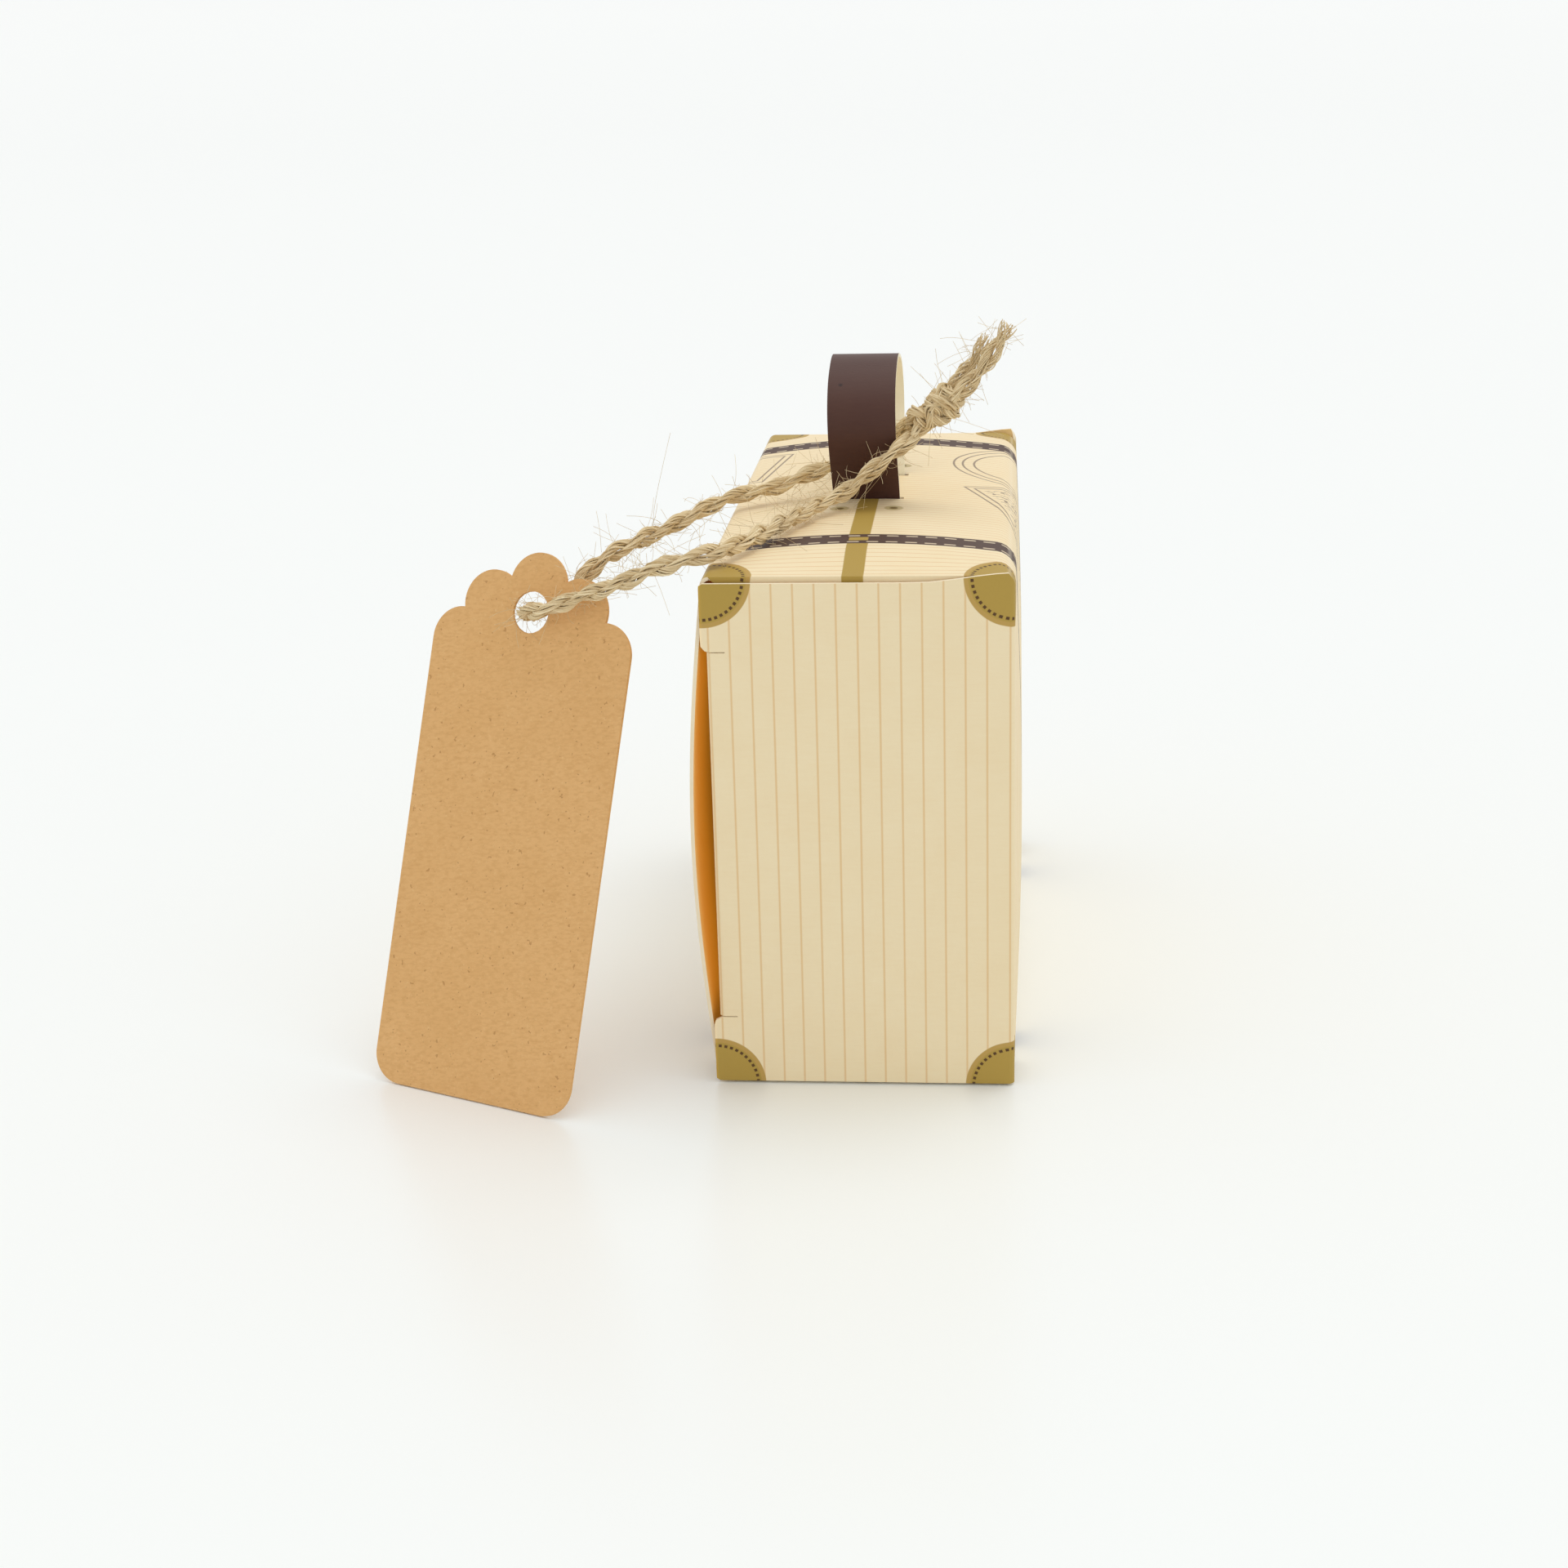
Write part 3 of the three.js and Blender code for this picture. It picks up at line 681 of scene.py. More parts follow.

# Corner patches wrap round the folds. The folds are a little paler: partly rubbed print on the
# crease, partly a painted highlight where the rounded fold catches light.
from_fold = calc(tree, "MINIMUM", away(tree, span_across, SIDE_FOLD), away(tree, span_across, BASE_FOLD))
from_fold = calc(tree, "MINIMUM", from_fold, away(tree, span_across, BASE_FOLD + 2 * HALF_WIDTH))
from_end = calc(tree, "ABSOLUTE", calc(tree, "SUBTRACT", HALF_LENGTH - 0.7, span_along))
colour = add_patches(tree, colour, from_fold, calc(tree, "MULTIPLY", from_end, 0.93))
colour = blend_colour(tree, both(tree, within(tree, from_fold, 0.3, 0.3), 0.22), colour, RAW_EDGE_AND_FOLD_HIGHLIGHT)
wire(tree, shader.inputs["Base Color"], colour)
raise_grain(tree, shader, surface["Tooth"], TOOTH_HEIGHT)
print("sleeve print", len(tree.nodes), "nodes")

# %% [markdown]
# ## Card without print
# The inside of the box, the cut edges and the handle have no pattern. They share one recipe
# with two tones and a roughness each. The inside card's tones are a warmer cream than the print's:
# painted warm light. The inner side of the left panel has a painted glow, a faint emission, most in
# its middle. The handle has one tiny dark speck.

# %% Inside card, raw edges and handle card
def plain_card(name, light, deep, roughness, bump):
    """Card with the stock's cloudiness and tooth but no print."""
    material, tree, shader = new_material(name, roughness)
    vector = print_place(tree)[0]
    colour, surface = clouded(tree, vector, light, deep)
    wire(tree, shader.inputs["Base Color"], colour)
    raise_grain(tree, shader, surface["Tooth"], bump)
    return material


# The inside card's two warm tones are painted warm light, and it carries the painted glow.
inside_card_painted_glow = plain_card("inside_card_painted_glow", CREAM_INSIDE_PAINTED_WARMTH, linear(243, 206, 140), 0.7, TOOTH_HEIGHT)
tree = inside_card_painted_glow.node_tree
shader = tree.nodes["Principled BSDF"]
across = print_place(tree)[1]
left_panel_middle = -HALF_WIDTH - HALF_HEIGHT
# The inner side of the left panel gets a faint emission, strongest in its middle: a painted glow.
left_panel_painted_glow = within(tree, away(tree, across, left_panel_middle), HALF_HEIGHT - 5.0, 4.0)
wire(tree, shader.inputs["Emission Color"], blend_colour(tree, left_panel_painted_glow, BLACK, PAINTED_GLOW_COLOUR))
shader.inputs["Emission Strength"].default_value = PAINTED_GLOW_STRENGTH
raw_edge = plain_card("raw_edge", RAW_EDGE_AND_FOLD_HIGHLIGHT, linear(240, 222, 186), 0.8, 0.05)
handle_inside = plain_card("handle_inside", linear(250, 243, 218), linear(243, 233, 204), 0.7, TOOTH_HEIGHT)
handle_print = plain_card("handle_print", HANDLE_BROWN, linear(86, 58, 48), 0.5, TOOTH_HEIGHT)

# The handle has one tiny dark speck near its top, in mm across and along the strip.
SPECK_PLACE = (-3.06, 40.1)
SPECK_DARK = linear(38, 24, 26)
tree = handle_print.node_tree
shader = tree.nodes["Principled BSDF"]
across, run = print_place(tree)[1:]
from_speck = square_root_of_squares(
    tree, calc(tree, "SUBTRACT", across, SPECK_PLACE[0]), calc(tree, "SUBTRACT", run, SPECK_PLACE[1]))
speck = both(tree, within(tree, from_speck, 0.2, 0.2), 0.9)
card_colour = shader.inputs["Base Color"].links[0].from_socket
wire(tree, shader.inputs["Base Color"], blend_colour(tree, speck, card_colour, SPECK_DARK))
print("materials", [material.name for material in bpy.data.materials])

# %% [markdown]
# ## The sleeve
# One strip of card is creased four times and glued into a tube. Its section is a ring of
# straight panels and small arcs, and the panels swell a little between the ends. So the
# outer face is a function of the place round the section and the place along the box.

# %% Sleeve section
BOX_WIDTH = 33.0
BOX_HEIGHT = 58.0
CARD = 0.4
SLEEVE_END = 39.3
LEFT_BOW = 2.1
RIGHT_BOW = 0.75
TOP_CROWN = 1.25
CROWN_RUN_IN = 9.0
FOLD_RADIUS = 0.8
SOFT_FOLD_RADIUS = 2.0
SLOT_X = (-4.825, 3.525)
SLOT_Y = (6.1, 7.1)


def section_ring():
    """The ring from the base's right fold up the right side, over the top and round to the base.

    Gives x, z and the unrolled place across, which is zero in the middle of the top.
    """
    half, low, high = BOX_WIDTH / 2, 0.0, BOX_HEIGHT
    r, s = FOLD_RADIUS, SOFT_FOLD_RADIUS
    arc = np.linspace(0, np.pi / 2, 7)
    side = np.linspace(0, 1, 30)
    inner_marks = [12, 9, 6, *SLOT_X[::-1], 1.4, 0, -1.5, -3, -7, -10, -12.5, -14.3]
    top = np.sort(np.array([half - s, *inner_marks, r - half]))[::-1]
    bend = 2 * arc / (np.pi / 2)
    base = np.linspace(r - half, half - r, 16)
    base_run = np.linspace(0, BOX_WIDTH - 2 * r, 16)
    parts = [
        (half - r + r * np.sin(arc), r - r * np.cos(arc), BASE_FOLD + r - r * bend),
        (np.full(30, half), r + (high - s - r) * side, BASE_FOLD - r - (high - s - r) * side),
        (half - s + s * np.cos(arc), high - s + s * np.sin(arc), SIDE_FOLD + s - s * bend),
        (top, np.full(len(top), high), top),
        (r - half - r * np.sin(arc), high - r + r * np.cos(arc), r - SIDE_FOLD - r * bend),
        (np.full(30, -half), high - r - (high - 2 * r) * side, -SIDE_FOLD - r - (high - 2 * r) * side),
        (r - half - r * np.cos(arc), r - r * np.sin(arc), r - BASE_FOLD - r * bend),
        (base, np.full(16, low), -BASE_FOLD - r - base_run),
    ]
    x, z, across = (np.concatenate([part[i] for part in parts]) for i in range(3))
    fresh = np.concatenate([[True], np.hypot(np.diff(x), np.diff(z)) > 1e-6])
    return x[fresh], z[fresh], across[fresh]


def swell(x, y, z):
    """Half a sine up each side moves it outwards, and a parabola across the top lifts it."""
    eased = smoothstep((SLEEVE_END - np.abs(y)) / CROWN_RUN_IN)
    up_side = np.sin(np.pi * np.clip(z / BOX_HEIGHT, 0, 1))
    inner = BOX_WIDTH / 2 - CARD
    shift = np.where(x < -inner + 0.01, -LEFT_BOW * up_side, 0.0)
    shift = np.where(x > inner - 0.01, RIGHT_BOW * up_side * eased, shift)
    lift = np.where(z > BOX_HEIGHT - SOFT_FOLD_RADIUS,
                    TOP_CROWN * (1 - (x / (BOX_WIDTH / 2))**2) * eased, 0.0)
    return np.stack([x + shift, y, z + lift], axis=-1)


ring_x, ring_z, ring_across = section_ring()
half_rows = np.unique(np.concatenate([
    np.linspace(0, 5, 5), SLOT_Y, np.linspace(8.5, 29, 15), SLEEVE_END - 10 * np.linspace(1, 0, 14)**1.3]))
rows = np.concatenate([-half_rows[:0:-1], half_rows])
grid_x, grid_y = np.meshgrid(ring_x, rows)
grid_z, grid_across = np.meshgrid(ring_z, rows)[0], np.meshgrid(ring_across, rows)[0]
sleeve_points = swell(grid_x, grid_y, grid_z)
sleeve_places = np.stack([grid_across, grid_y], axis=-1)
middle_x = (grid_x[1:, 1:] + grid_x[:-1, :-1]) / 2
middle_y = np.abs(grid_y[1:, 1:] + grid_y[:-1, :-1]) / 2
in_slot = (middle_x > SLOT_X[0]) & (middle_x < SLOT_X[1]) & (middle_y > SLOT_Y[0]) & (middle_y < SLOT_Y[1])
sleeve_keep = ~(in_slot & (grid_z[1:, 1:] > 57))
print("sleeve grid", sleeve_points.shape, "slot faces left out", int((~sleeve_keep).sum()))

# %% [markdown]
# ## Dust flaps and the glue flap
# At each end a flap folds in from the top and from the base, narrower towards its tip and
# with round corners. Its root uses the sleeve's own points, so that the two grids join
# along the fold. The strip that closes the tube is glued inside the base.

# %% Flaps of the sleeve
DUST_DEPTH = 18.0
DUST_TAPER = 1.5
DUST_CORNER = 3.0
DUST_SHOULDER = 1.4
GLUE_FLAP_X = (7.1, 15.7)
GLUE_FLAP_HALF = 36.3
GLUE_FLAP_HIGH = 0.46
GLUE_FLAP_PRINT = 60


def dust_flap(end, from_top):
    """Rows go down from the fold while each row's width shrinks with the taper and the corner arc.

    The ring's first point lies on the base too, so the base's fold starts at its leftmost point.
    """
    edge = np.abs(ring_z - (BOX_HEIGHT if from_top else 0.0)) < 1e-6
    root = ring_x[edge]
    root = root if from_top else root[root.argmin():]
    round_rows = DUST_DEPTH - DUST_CORNER * np.linspace(1, 0, 10)**2
    down = np.unique(np.concatenate([[0, 0.4, 1.2, 3, 6, 10, 13], round_rows]))
    corner = np.clip(down - (DUST_DEPTH - DUST_CORNER), 0, DUST_CORNER)
    narrow = DUST_TAPER * down / DUST_DEPTH + DUST_CORNER - np.sqrt(DUST_CORNER**2 - corner**2)
    left = root.min() + DUST_SHOULDER * smoothstep(down / 1.4) + narrow
    right = root.max() - narrow
    share = (root - root.min()) / (root.max() - root.min())
    x = left[:, None] + (right - left)[:, None] * share[None, :]
    z = np.broadcast_to((BOX_HEIGHT - down if from_top else down)[:, None], x.shape)
    y = np.full(x.shape, end * SLEEVE_END)
    y = y - end * 0.25 * smoothstep(down / DUST_DEPTH)[:, None]
    print_across = x if from_top else -BASE_FOLD - HALF_WIDTH - x
    print_along = np.broadcast_to(end * (HALF_LENGTH + down)[:, None], x.shape)
    return np.stack([x, y, z], axis=-1), np.stack([print_across, print_along], axis=-1), None


def glue_flap():
    """A flat strip just above the base."""
    x, y = np.meshgrid(np.linspace(*GLUE_FLAP_X, 4), np.linspace(-GLUE_FLAP_HALF, GLUE_FLAP_HALF, 9))
    z = np.full(x.shape, GLUE_FLAP_HIGH)
    return np.stack([x, y, z], axis=-1), np.stack([x + GLUE_FLAP_PRINT, y], axis=-1), None


flaps = [dust_flap(end, from_top) for end in (-1, 1) for from_top in (True, False)]
sleeve = (sleeve_points, sleeve_places, sleeve_keep)
carton_sheet = card_sheet("carton_sheet", [sleeve, *flaps, glue_flap()])
thicken(carton_sheet, CARD, -1.0, [sleeve_print, inside_card_painted_glow, raw_edge], 1, 2)
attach(carton_sheet, "box")
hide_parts("carton")

# %% [markdown]
# ## The end flaps
# Each end closes with a panel that turns round the right-hand fold and tucks in on the
# left. Two ears above and below the tuck keep it from slipping too far in. The panel, the
# ears and the tuck are grids that share the line where the slits end.

# %% End flap grids
END_FACE = 40.0
FOLD_BEND = 0.7
CREASE_DROP = 1.6
SLIT_LINE = -14.1
EAR_EDGE = -16.7
EAR_HEIGHT = 8.0
SLIT_WIDTH = 0.1
PANEL_LOW = 0.3
TUCK_DEPTH = 12.0
TUCK_LEAN = 2.4
TUCK_CORNER = 5.0
TOP_LEVEL = 57.42
LIFT_START = 6.0
LIFT_RUN = 10.5
EAR_CORNER = 0.9
FOOT_CORNER = 0.4


def top_edge(x):
    """The panel's upper edge: level on the left, lifting by 1 mm to the corner on the right."""
    return TOP_LEVEL + smoothstep((x - LIFT_START) / LIFT_RUN)


def corner_cut(distance, radius):
    """How far a round corner draws an edge back: the radius less its circle's height."""
    beyond = np.clip(radius - distance, 0, None)
    return radius - np.sqrt(np.clip(radius**2 - beyond**2, 0, None))


def panel_rows():
    """Heights of the rows beside the lower ear, the tuck and the upper ear, under a level edge."""
    ear = np.array([0, 0.25, 0.6, 1.2, 2.5, 4.5, 6, 6.8, 7.3, EAR_HEIGHT - PANEL_LOW])
    low = PANEL_LOW + ear
    high = top_edge(0.0) - ear[::-1]
    high[0] = BOX_HEIGHT - EAR_HEIGHT
    tuck = np.concatenate([
        EAR_HEIGHT + SLIT_WIDTH + TUCK_CORNER * np.linspace(0, 1, 7)**2, np.linspace(17, 41, 7),
        BOX_HEIGHT - EAR_HEIGHT - SLIT_WIDTH - TUCK_CORNER * np.linspace(1, 0, 7)**2])
    return low, tuck, high


def upper_shape(x, z):
    """Rows above the ear slit stretch so that the last one follows the upper edge."""
    slit = BOX_HEIGHT - EAR_HEIGHT
    share = np.clip((z - slit) / (top_edge(0.0) - slit), 0, None)
    return np.where(z > slit, slit + share * (top_edge(x) - slit), z)


def end_flap_grids(end):
    """Panel with its right fold, two ears, and the tuck that turns in round its own fold."""
    low, tuck, high = panel_rows()
    rows = np.concatenate([low, tuck, high])
    arc = np.linspace(0, np.pi / 2, 7)
    half = BOX_WIDTH / 2
    fold_x = half - FOLD_BEND + FOLD_BEND * np.cos(arc)
    fold_y = SLEEVE_END + FOLD_BEND * np.sin(arc)
    flat_x = np.array([14.5, 12.5, 10, 7.5, 5, 2.5, 0, -3, -6, -9, -12, SLIT_LINE])
    x = np.concatenate([fold_x, flat_x])
    y = np.concatenate([fold_y, np.full(len(flat_x), END_FACE)])
    unrolled = np.concatenate([half + FOLD_BEND * 0.3 - FOLD_BEND * arc, flat_x])
    grid_x, grid_z = np.meshgrid(x, rows)
    cut = np.concatenate([CREASE_DROP * (1 - arc / (np.pi / 2)), np.zeros(len(flat_x))])[None, :]
    above = np.clip((grid_z - 50) / 8, 0, 1)
    z = upper_shape(np.minimum(grid_x, 16.4), grid_z) - cut * above
    panel = np.stack([grid_x, end * np.broadcast_to(y, grid_x.shape), z], axis=-1)
    grids = [(panel, np.stack([np.broadcast_to(unrolled, z.shape), z - HALF_HEIGHT], axis=-1), None)]

    shares = np.linspace(0, 1, 5)[None, :]
    for ear_rows, slit_end in ((low, EAR_HEIGHT), (high, BOX_HEIGHT - EAR_HEIGHT)):
        from_slit = np.abs(ear_rows - slit_end)
        from_outer = from_slit.max() - from_slit
        edge = EAR_EDGE + np.maximum(corner_cut(from_slit, EAR_CORNER), corner_cut(from_outer, FOOT_CORNER))
        x = SLIT_LINE + (edge[:, None] - SLIT_LINE) * shares
        z = upper_shape(x, np.broadcast_to(ear_rows[:, None], x.shape))
        ear = np.stack([x, np.full(x.shape, end * END_FACE), z], axis=-1)
        grids.append((ear, np.stack([x, z - HALF_HEIGHT], axis=-1), None))

    into = np.concatenate([np.linspace(0.1, 0.6, 5), 1 - 0.4 * np.linspace(1, 0, 9)[1:]**1.6])
    line_x = np.concatenate([[SLIT_LINE], -half + CARD + FOLD_BEND - FOLD_BEND * np.sin(arc),
                             -half + CARD + TUCK_LEAN * into])
    line_y = np.concatenate([[END_FACE], END_FACE - FOLD_BEND + FOLD_BEND * np.cos(arc),
                             SLEEVE_END - TUCK_DEPTH * into])
    run = np.concatenate([[0], np.cumsum(np.hypot(np.diff(line_x), np.diff(line_y)))])
    to_tip = np.clip(TUCK_CORNER - (SLEEVE_END - line_y < TUCK_DEPTH) * (run[-1] - run), 0, TUCK_CORNER)
    shrink = TUCK_CORNER - np.sqrt(TUCK_CORNER**2 - to_tip**2)
    middle = (tuck[0] + tuck[-1]) / 2
    half_tall = (tuck[-1] - tuck[0]) / 2
    z = middle + (tuck[:, None] - middle) * ((half_tall - shrink) / half_tall)[None, :]
    x = np.broadcast_to(line_x, z.shape)
    tuck_grid = np.stack([x, np.broadcast_to(end * line_y, z.shape), z], axis=-1)
    tuck_places = np.stack([np.broadcast_to(SLIT_LINE - run, z.shape), z - HALF_HEIGHT], axis=-1)
    grids.append((tuck_grid, tuck_places, None))
    return grids


print("end flap rows", [len(rows) for rows in panel_rows()])

# %% [markdown]
# Both ends are the same, with the sign of y turned round. On the real box the end flap and
# the sleeve are one sheet.

# %% Near and far end flaps
for end, name, node, body in ((-1, "near_lid_sheet", "near_end_flap", "near_end_lid"),
                              (1, "far_lid_sheet", "far_end_flap", "far_end_lid")):
    lid = card_sheet(name, end_flap_grids(end))
    thicken(lid, CARD, -1.0, [end_print, inside_card_painted_glow, raw_edge], 1, 2)
    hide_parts(node)
    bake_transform(lid)

# %% [markdown]
# ## The handle
# A narrow strip of brown-printed card comes up through one slot, bulges and closes over the
# top before it goes down the other slot. Seen from the side it is one smooth line, so the
# strip is that line carried straight across its width.

# %% Handle
HANDLE_X = (-4.525, 3.225)
HANDLE_HALF_LINE = [
    (13.3, 58.35), (10.3, 58.35), (7.3, 58.35), (6.81, 58.56), (6.6, 59.05), (6.7, 59.45),
    (7.70, 61.60), (9.64, 64.30), (11.02, 67.35), (10.74, 70.05), (8.44, 72.50), (4.09, 74.05),
]
HANDLE_FOOT = 59.0
HANDLE_CROWN = 74.6
HANDLE_LEAN = (0.15, 0.3)
handle_points = [(y, z, 0) for y, z in HANDLE_HALF_LINE] + [(0, HANDLE_CROWN, 0)]
handle_points += [(-y, z, 0) for y, z in HANDLE_HALF_LINE[::-1]]
handle_line, handle_length = smooth_path(handle_points, 0.5)
handle_x, run = np.meshgrid(np.linspace(*HANDLE_X, 9), np.linspace(0, handle_length, len(handle_line)))
handle_y = np.broadcast_to(handle_line[:, :1], handle_x.shape)
handle_z = np.broadcast_to(handle_line[:, 1:2], handle_x.shape)
raised = np.clip((handle_z - HANDLE_FOOT) / (HANDLE_CROWN - HANDLE_FOOT), 0, 1)
leaning_x = handle_x - HANDLE_LEAN[0] - HANDLE_LEAN[1] * raised
handle_strap = card_sheet("handle_strap", [
    (np.stack([leaning_x, handle_y, handle_z], axis=-1), np.stack([handle_x, run], axis=-1), None)])
thicken(handle_strap, CARD, 0.0, [handle_print, handle_inside, handle_inside], 1, 2)
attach(handle_strap, "box")
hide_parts("handle_strip")
print("handle strip", round(handle_length, 1), "mm along its line")

# %% [markdown]
# ## Kraft tag
# The tag's outline and thickness are right as they are in the solids, so only its finish is
# made here. Kraft is unbleached pulp: short fibres in many directions, darker flecks and a
# cloudy tone. The pattern reads the place in the object, because the tag never bends.

# %% Kraft material
kraft, tree, shader = new_material("kraft_paper", 0.85)
place = tree.nodes.new("ShaderNodeTexCoord")
grown = tree.nodes.new("ShaderNodeVectorMath")
grown.operation = "SCALE"
grown.inputs["Scale"].default_value = 1000.0
tree.links.new(place.outputs["Object"], grown.inputs[0])
surface = use_group(tree, stock, Place=grown.outputs[0])
colour = blend_colour(tree, surface["Cloud"], linear(222, 173, 112), linear(233, 186, 127))
fibres = calc(tree, "MULTIPLY", calc(tree, "SUBTRACT", surface["Fibre"], 0.42), 2.2)
colour = blend_colour(tree, fibres, colour, linear(212, 162, 102))
pale = calc(tree, "MULTIPLY", calc(tree, "SUBTRACT", surface["Tooth"], 0.58), 2.4)
colour = blend_colour(tree, calc(tree, "MAXIMUM", pale, 0.0), colour, linear(238, 202, 146))
fleck = noise(tree, grown.outputs[0], 1.9, 1.0)
fleck_mask = both(tree, calc(tree, "GREATER_THAN", fleck, 0.72), 0.5)
colour = blend_colour(tree, fleck_mask, colour, linear(168, 118, 68))
wire(tree, shader.inputs["Base Color"], colour)
raise_grain(tree, shader, surface["Tooth"], 0.06)
gift_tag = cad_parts["gift_tag"]
gift_tag.data.materials.clear()
gift_tag.data.materials.append(kraft)
print("kraft paper", len(tree.nodes), "nodes")

# %% [markdown]
# ## Jute fibre finish
# Every strand has a tone of its own, and the tone drifts along it. The map on the tubes has
# the length along the strand and the strand's number, so a stretched noise gives both.

# %% Jute material
jute, tree, shader = new_material("jute_fibre", 0.8)
vector, along, strand = print_place(tree)
squeeze = tree.nodes.new("ShaderNodeMapping")
squeeze.inputs["Scale"].default_value = (0.25, 1.0, 1.0)
tree.links.new(vector, squeeze.inputs["Vector"])
tone = noise(tree, squeeze.outputs[0], 0.8, 2.0)
fine = noise(tree, vector, 3.0, 2.0)
spread = calc(tree, "MULTIPLY", calc(tree, "SUBTRACT", tone, 0.3), 2.4)
colour = blend_colour(tree, spread, linear(252, 234, 194), linear(190, 156, 100))
colour = blend_colour(tree, both(tree, fine, 0.4), colour, linear(244, 230, 194))
wire(tree, shader.inputs["Base Color"], colour)
raise_grain(tree, shader, fine, 0.05)
print("jute fibre", len(tree.nodes), "nodes")

# %% [markdown]
# ## The loop
# The strands of the two plies go all the way along the loop's path, from the knot through
# the tag's hole and back. They keep the number of points of the path, 0.4 mm apart.

# %% Twine loop
twine = tubes("jute_twine_loop", twine_strands(loop_path, 11), STRAND_RADIUS, STRAND_SIDES, jute)
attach(twine, "box")
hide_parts("twine_loop")

# %% [markdown]
# ## The knot
# Both legs of the loop are tied together in one overhand knot. Pulled tight, it shows as
# bands of doubled twine that wind round a short axis. Each twine follows a helix whose
# radius rises from the axis and falls back to it, and the second lies beside the first.

# %% Knot and tails
KNOT_CENTRE = np.array([7.7, -9.5, 70.4])
KNOT_LEAN = math.radians(48.8)
KNOT_ALONG = np.array([math.sin(KNOT_LEAN), 0.0, math.cos(KNOT_LEAN)])
KNOT_ACROSS = np.array([math.cos(KNOT_LEAN), 0.0, -math.sin(KNOT_LEAN)])
KNOT_BACK = np.array([0.0, 1.0, 0.0])
KNOT_HALF = 3.4
LUMP_TURN = math.radians(20)


def knot_space(across, back, along):
    """A place beside the knot, from its own three directions."""
    sideways = np.outer(across, KNOT_ACROSS) + np.outer(back, KNOT_BACK)
    return KNOT_CENTRE + sideways + np.outer(along, KNOT_ALONG)


def knot_band(turns, start_angle, low, high, radius, dive):
    """A helix round the knot's axis whose radius eases out from the axis and back.

    The whole band is then turned in the plane of across and along, by the lump's own turn.
    """
    share = np.linspace(0, 1, 90)
    angle = start_angle + 2 * np.pi * turns * share
    reach = radius * smoothstep(np.minimum(share, 1 - share) / dive)
    place = low + (high - low) * share
    sideways = reach * np.cos(angle)
    turned_across = sideways * math.cos(LUMP_TURN) + place * math.sin(LUMP_TURN)
    turned_along = place * math.cos(LUMP_TURN) - sideways * math.sin(LUMP_TURN)
    return smooth_path(knot_space(turned_across, reach * np.sin(angle), turned_along), 0.35)[0]


bands = [
    knot_band(1.3, -2.6, -2.9, 1.3, 1.25, 0.16),
    knot_band(1.3, -2.6, -1.2, 2.5, 1.35, 0.16),
    knot_band(-0.8, 0.3, -2.5, 2.3, 1.45, 0.22),
    knot_band(1.1, 0.6, -0.9, 2.2, 1.15, 0.2),
]

# The legs of the loop run into the knot from below, one on each side of its axis.
LEG_ENDS = [(0.55, -1.2, -4.1), (-0.59, 1.1, -3.9)]
for across, back, along in LEG_ENDS:
    fade = np.linspace(1.06, 0.0, 8)
    bands.append(smooth_path(knot_space(across * fade, back * fade, along * fade), 0.35)[0])

KNOT_SEED = 30
KNOT_STEPS = 48
knot_strands = [twine_strands(path, KNOT_SEED + number, reference=(0.2, 0.3, 1.0))
                for number, path in enumerate(bands)]


def even_steps(strands, steps):
    """The same strands with a set number of points, so that they can share one array."""
    place = np.linspace(0, strands.shape[1] - 1, steps)
    low = np.minimum(place.astype(int), strands.shape[1] - 2)
    part = (place - low)[None, :, None]
    return strands[:, low] * (1 - part) + strands[:, low + 1] * part


knot_paths = np.concatenate([even_steps(strands, KNOT_STEPS) for strands in knot_strands])
knot = tubes("jute_knot", knot_paths, STRAND_RADIUS, STRAND_SIDES, jute)
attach(knot, "box")
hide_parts("twine_knot")


TAIL_SUNK = 1.6
LONG_TAIL = (0.4, -1.175, 2.2, 9.0)
SHORT_TAIL = (-0.4, 1.175, 1.6, 6.0)


def tail_path(across, back, curl, length):
    """From the knot's upper end: straight along the axis while a square of the share curls it up."""
    share = np.linspace(0, 1, 12)
    along = KNOT_HALF - TAIL_SUNK + (length + TAIL_SUNK) * share
    return smooth_path(knot_space(across - curl * share**2, np.full(12, back), along), 0.3)[0]


for name, node, shape, seed in (("jute_tail_long", "twine_tail_long", LONG_TAIL, 51),
                                ("jute_tail_short", "twine_tail_short", SHORT_TAIL, 52)):
    strands = twine_strands(tail_path(*shape), seed, splay=0.12, ragged=0.13)
    thin = STRAND_RADIUS * np.linspace(1, 0.45, strands.shape[1])[None, :]
    tail = tubes(name, strands, thin, STRAND_SIDES, jute)
    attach(tail, "box")
    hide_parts(node)

# %% [markdown]
# ## Stray hairs
# Jute always sheds fibres. A hair system could grow them, but it would have to be turned
# into a mesh before the export. So each hair is a thin curved tube that leaves the twine's
# surface at a seeded place and bends more and more towards its tip.

# %% Hairs
HAIR_RADIUS = 0.022
HAIR_SIDES = 3
HAIR_ROOT = 0.75
HAIR_LENGTH = (0.5, 1.9)
LONG_HAIR = 1.9
HAIR_LOWEST = 0.5


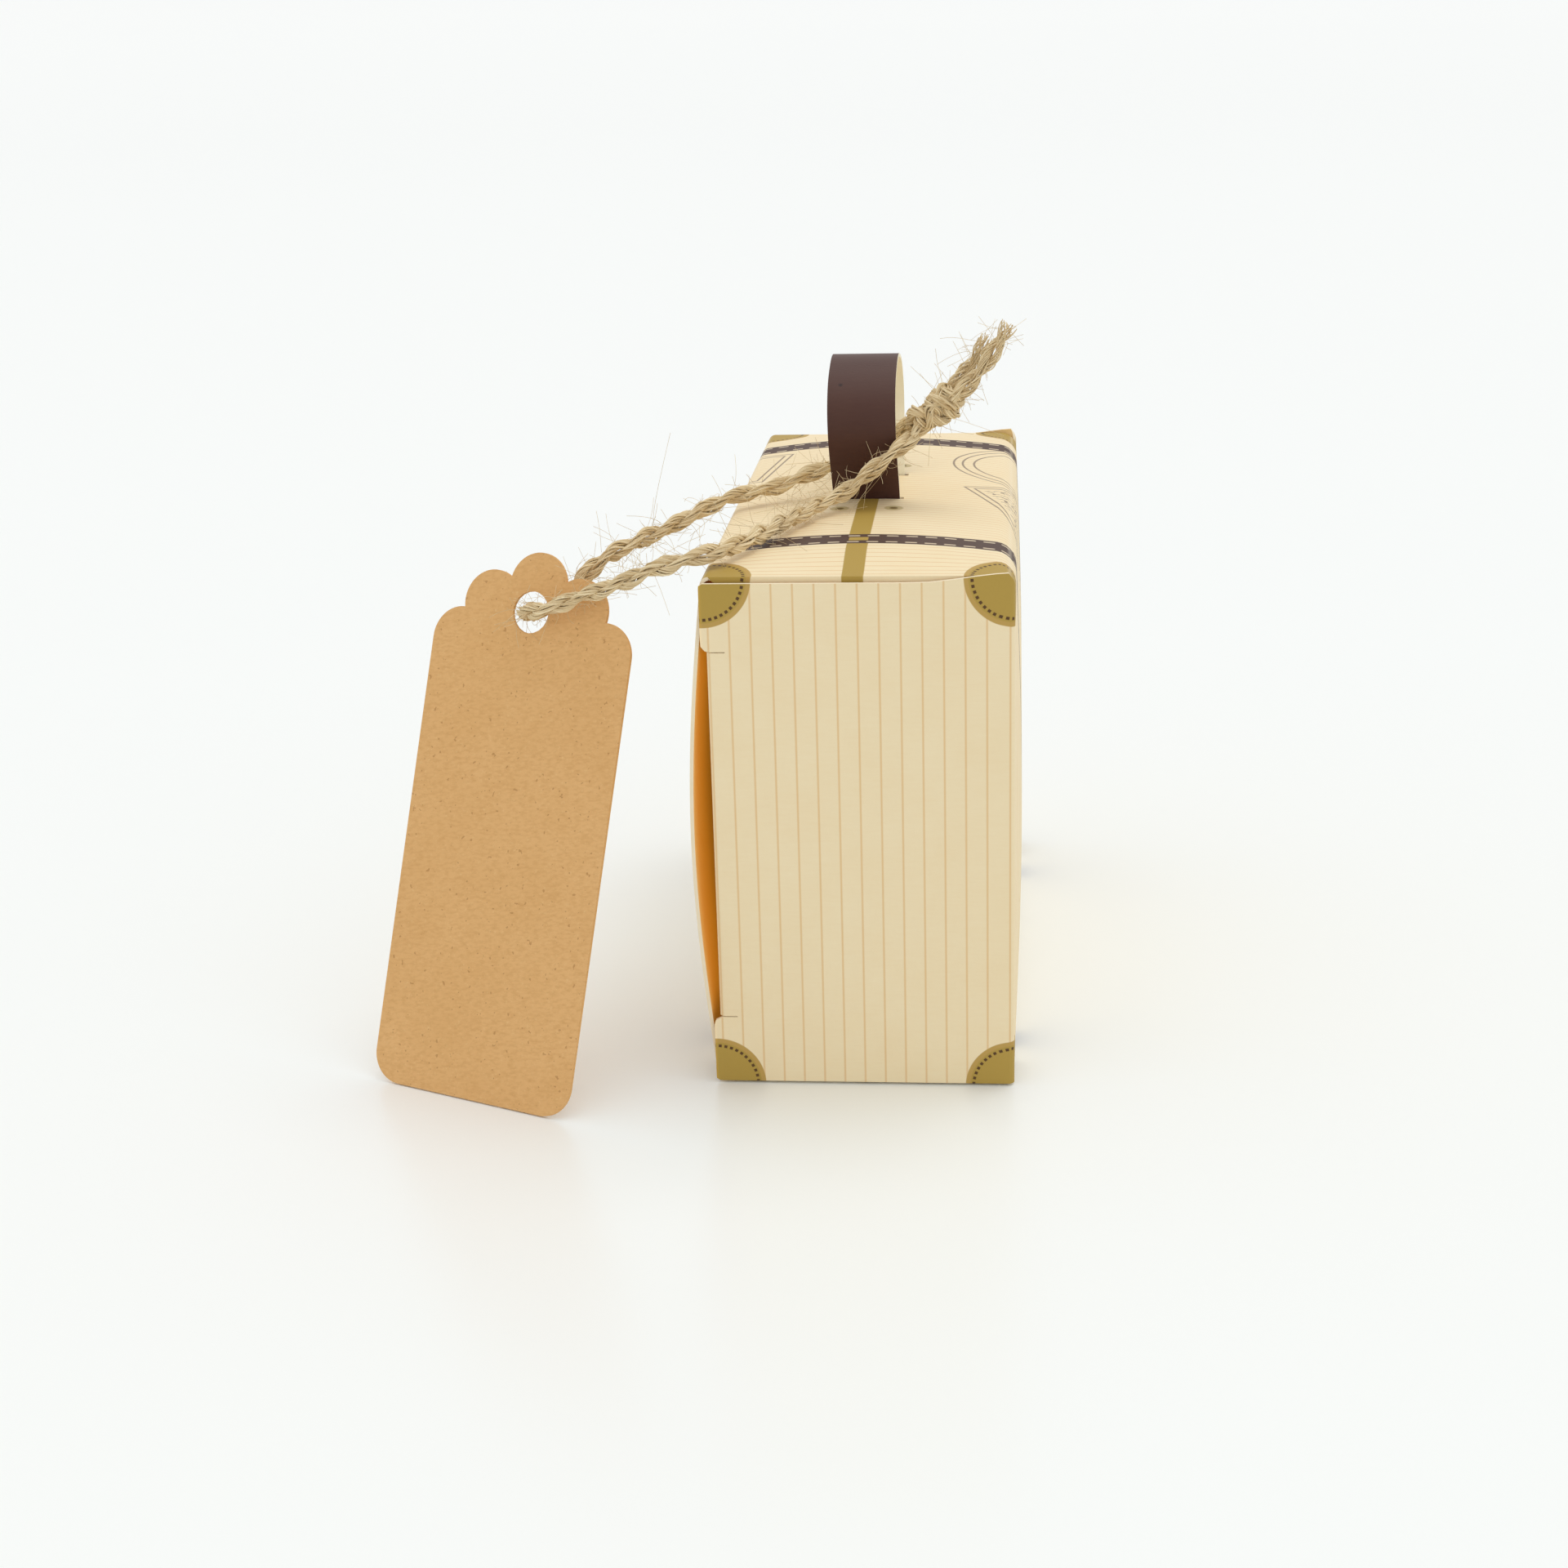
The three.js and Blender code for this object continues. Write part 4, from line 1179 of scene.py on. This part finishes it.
def hairs_from(path, count, seed, long_share=0.07):
    """Each hair: its root plus its length times a straight part, a bend and a curl.

    The straight part grows with the share of the hair, the bend with the share squared and the
    curl with the share cubed.
    """
    chance = np.random.default_rng(seed)
    along, across, up = frames(path, np.array([0.0, 0.0, 1.0]))
    spot = chance.integers(1, len(path) - 1, count)
    angle = chance.uniform(0, 2 * np.pi, count)[:, None]
    out = np.cos(angle) * across[spot] + np.sin(angle) * up[spot]
    outwards = out * chance.uniform(0.25, 1.0, (count, 1))
    way = unit(outwards + along[spot] * chance.normal(0, 1.0, (count, 1)))
    length = chance.uniform(*HAIR_LENGTH, count)
    length = length * np.where(chance.random(count) < long_share, LONG_HAIR, 1.0)
    bend = chance.normal(0, 0.75, (count, 3))
    curl = chance.normal(0, 0.7, (count, 3))
    share = np.linspace(0, 1, 8)[None, :, None]
    line = (path[spot] + HAIR_ROOT * out)[:, None] + length[:, None, None] * (
        share * way[:, None] + share**2 * bend[:, None] + share**3 * curl[:, None])
    line[..., 2] = np.maximum(line[..., 2], HAIR_LOWEST)
    return line


knot_line = knot_space(np.zeros(20), np.zeros(20), np.linspace(-3, 3, 20))
hair_lines = np.concatenate([
    hairs_from(loop_path, 600, 71), hairs_from(knot_line, 90, 72, 0.1),
    hairs_from(tail_path(*LONG_TAIL), 60, 73), hairs_from(tail_path(*SHORT_TAIL), 40, 74)])
hairs = tubes("jute_hairs", hair_lines, HAIR_RADIUS, HAIR_SIDES, jute)
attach(hairs, "box")

# %% [markdown]

# %% [markdown]
# ## The surface below
# The box stands on a smooth white surface, which makes the pale background too. It reaches
# far beyond the view, so that its edge never shows from above, and it keeps the shadows.

# %% Floor
FLOOR_SIZE = 9.0
floor_material, tree, shader = new_material("studio_floor", 0.28)
shader.inputs["Base Color"].default_value = linear(247, 250, 248)
shader.inputs["Specular IOR Level"].default_value = 0.5
floor_points = np.array([[-1, -1, 0], [1, -1, 0], [1, 1, 0], [-1, 1, 0]]) * FLOOR_SIZE / MM
floor = link_mesh("studio_floor", floor_points, [(0, 1, 2, 3)])
floor.data.materials.append(floor_material)
print("floor", FLOOR_SIZE * 2, "m wide")

# %% [markdown]
# ## Light
# A light tent gives an even, soft light: a white sky all round, and a wide lamp above and to
# the right that gives the soft shadow on the left. The sky lights the box a little less than
# it shows behind it, which a Light Path node tells apart by the kind of ray.

# %% World and lamps
world = bpy.data.worlds.new("studio_world")
bpy.context.scene.world = world
world.use_nodes = True
SKY_LIGHT = 0.82
SKY_SEEN = 0.92
sky = world.node_tree.nodes["Background"]
sky.inputs["Color"].default_value = (1.0, 1.0, 1.0, 1.0)
ray = world.node_tree.nodes.new("ShaderNodeLightPath").outputs
seen = calc(world.node_tree, "MAXIMUM", ray["Is Camera Ray"], ray["Is Glossy Ray"])
seen = calc(world.node_tree, "MAXIMUM", seen, ray["Is Transmission Ray"])
wire(world.node_tree, sky.inputs["Strength"], calc(
    world.node_tree, "ADD", SKY_LIGHT, calc(world.node_tree, "MULTIPLY", seen, SKY_SEEN - SKY_LIGHT)))

LAMP_STRENGTH = 0.66
LAMP_SPREAD = math.radians(36)
LAMP_TILT = (math.radians(-12), math.radians(14), 0.0)
lamp_data = bpy.data.lights.new("soft_overhead_lamp", "SUN")
lamp_data.energy = LAMP_STRENGTH
lamp_data.angle = LAMP_SPREAD
lamp = bpy.data.objects.new("soft_overhead_lamp", lamp_data)
lamp.rotation_euler = LAMP_TILT
bpy.context.scene.collection.objects.link(lamp)
bpy.context.scene.view_settings.view_transform = "Standard"
print("sky", SKY_LIGHT, "lamp", LAMP_STRENGTH)
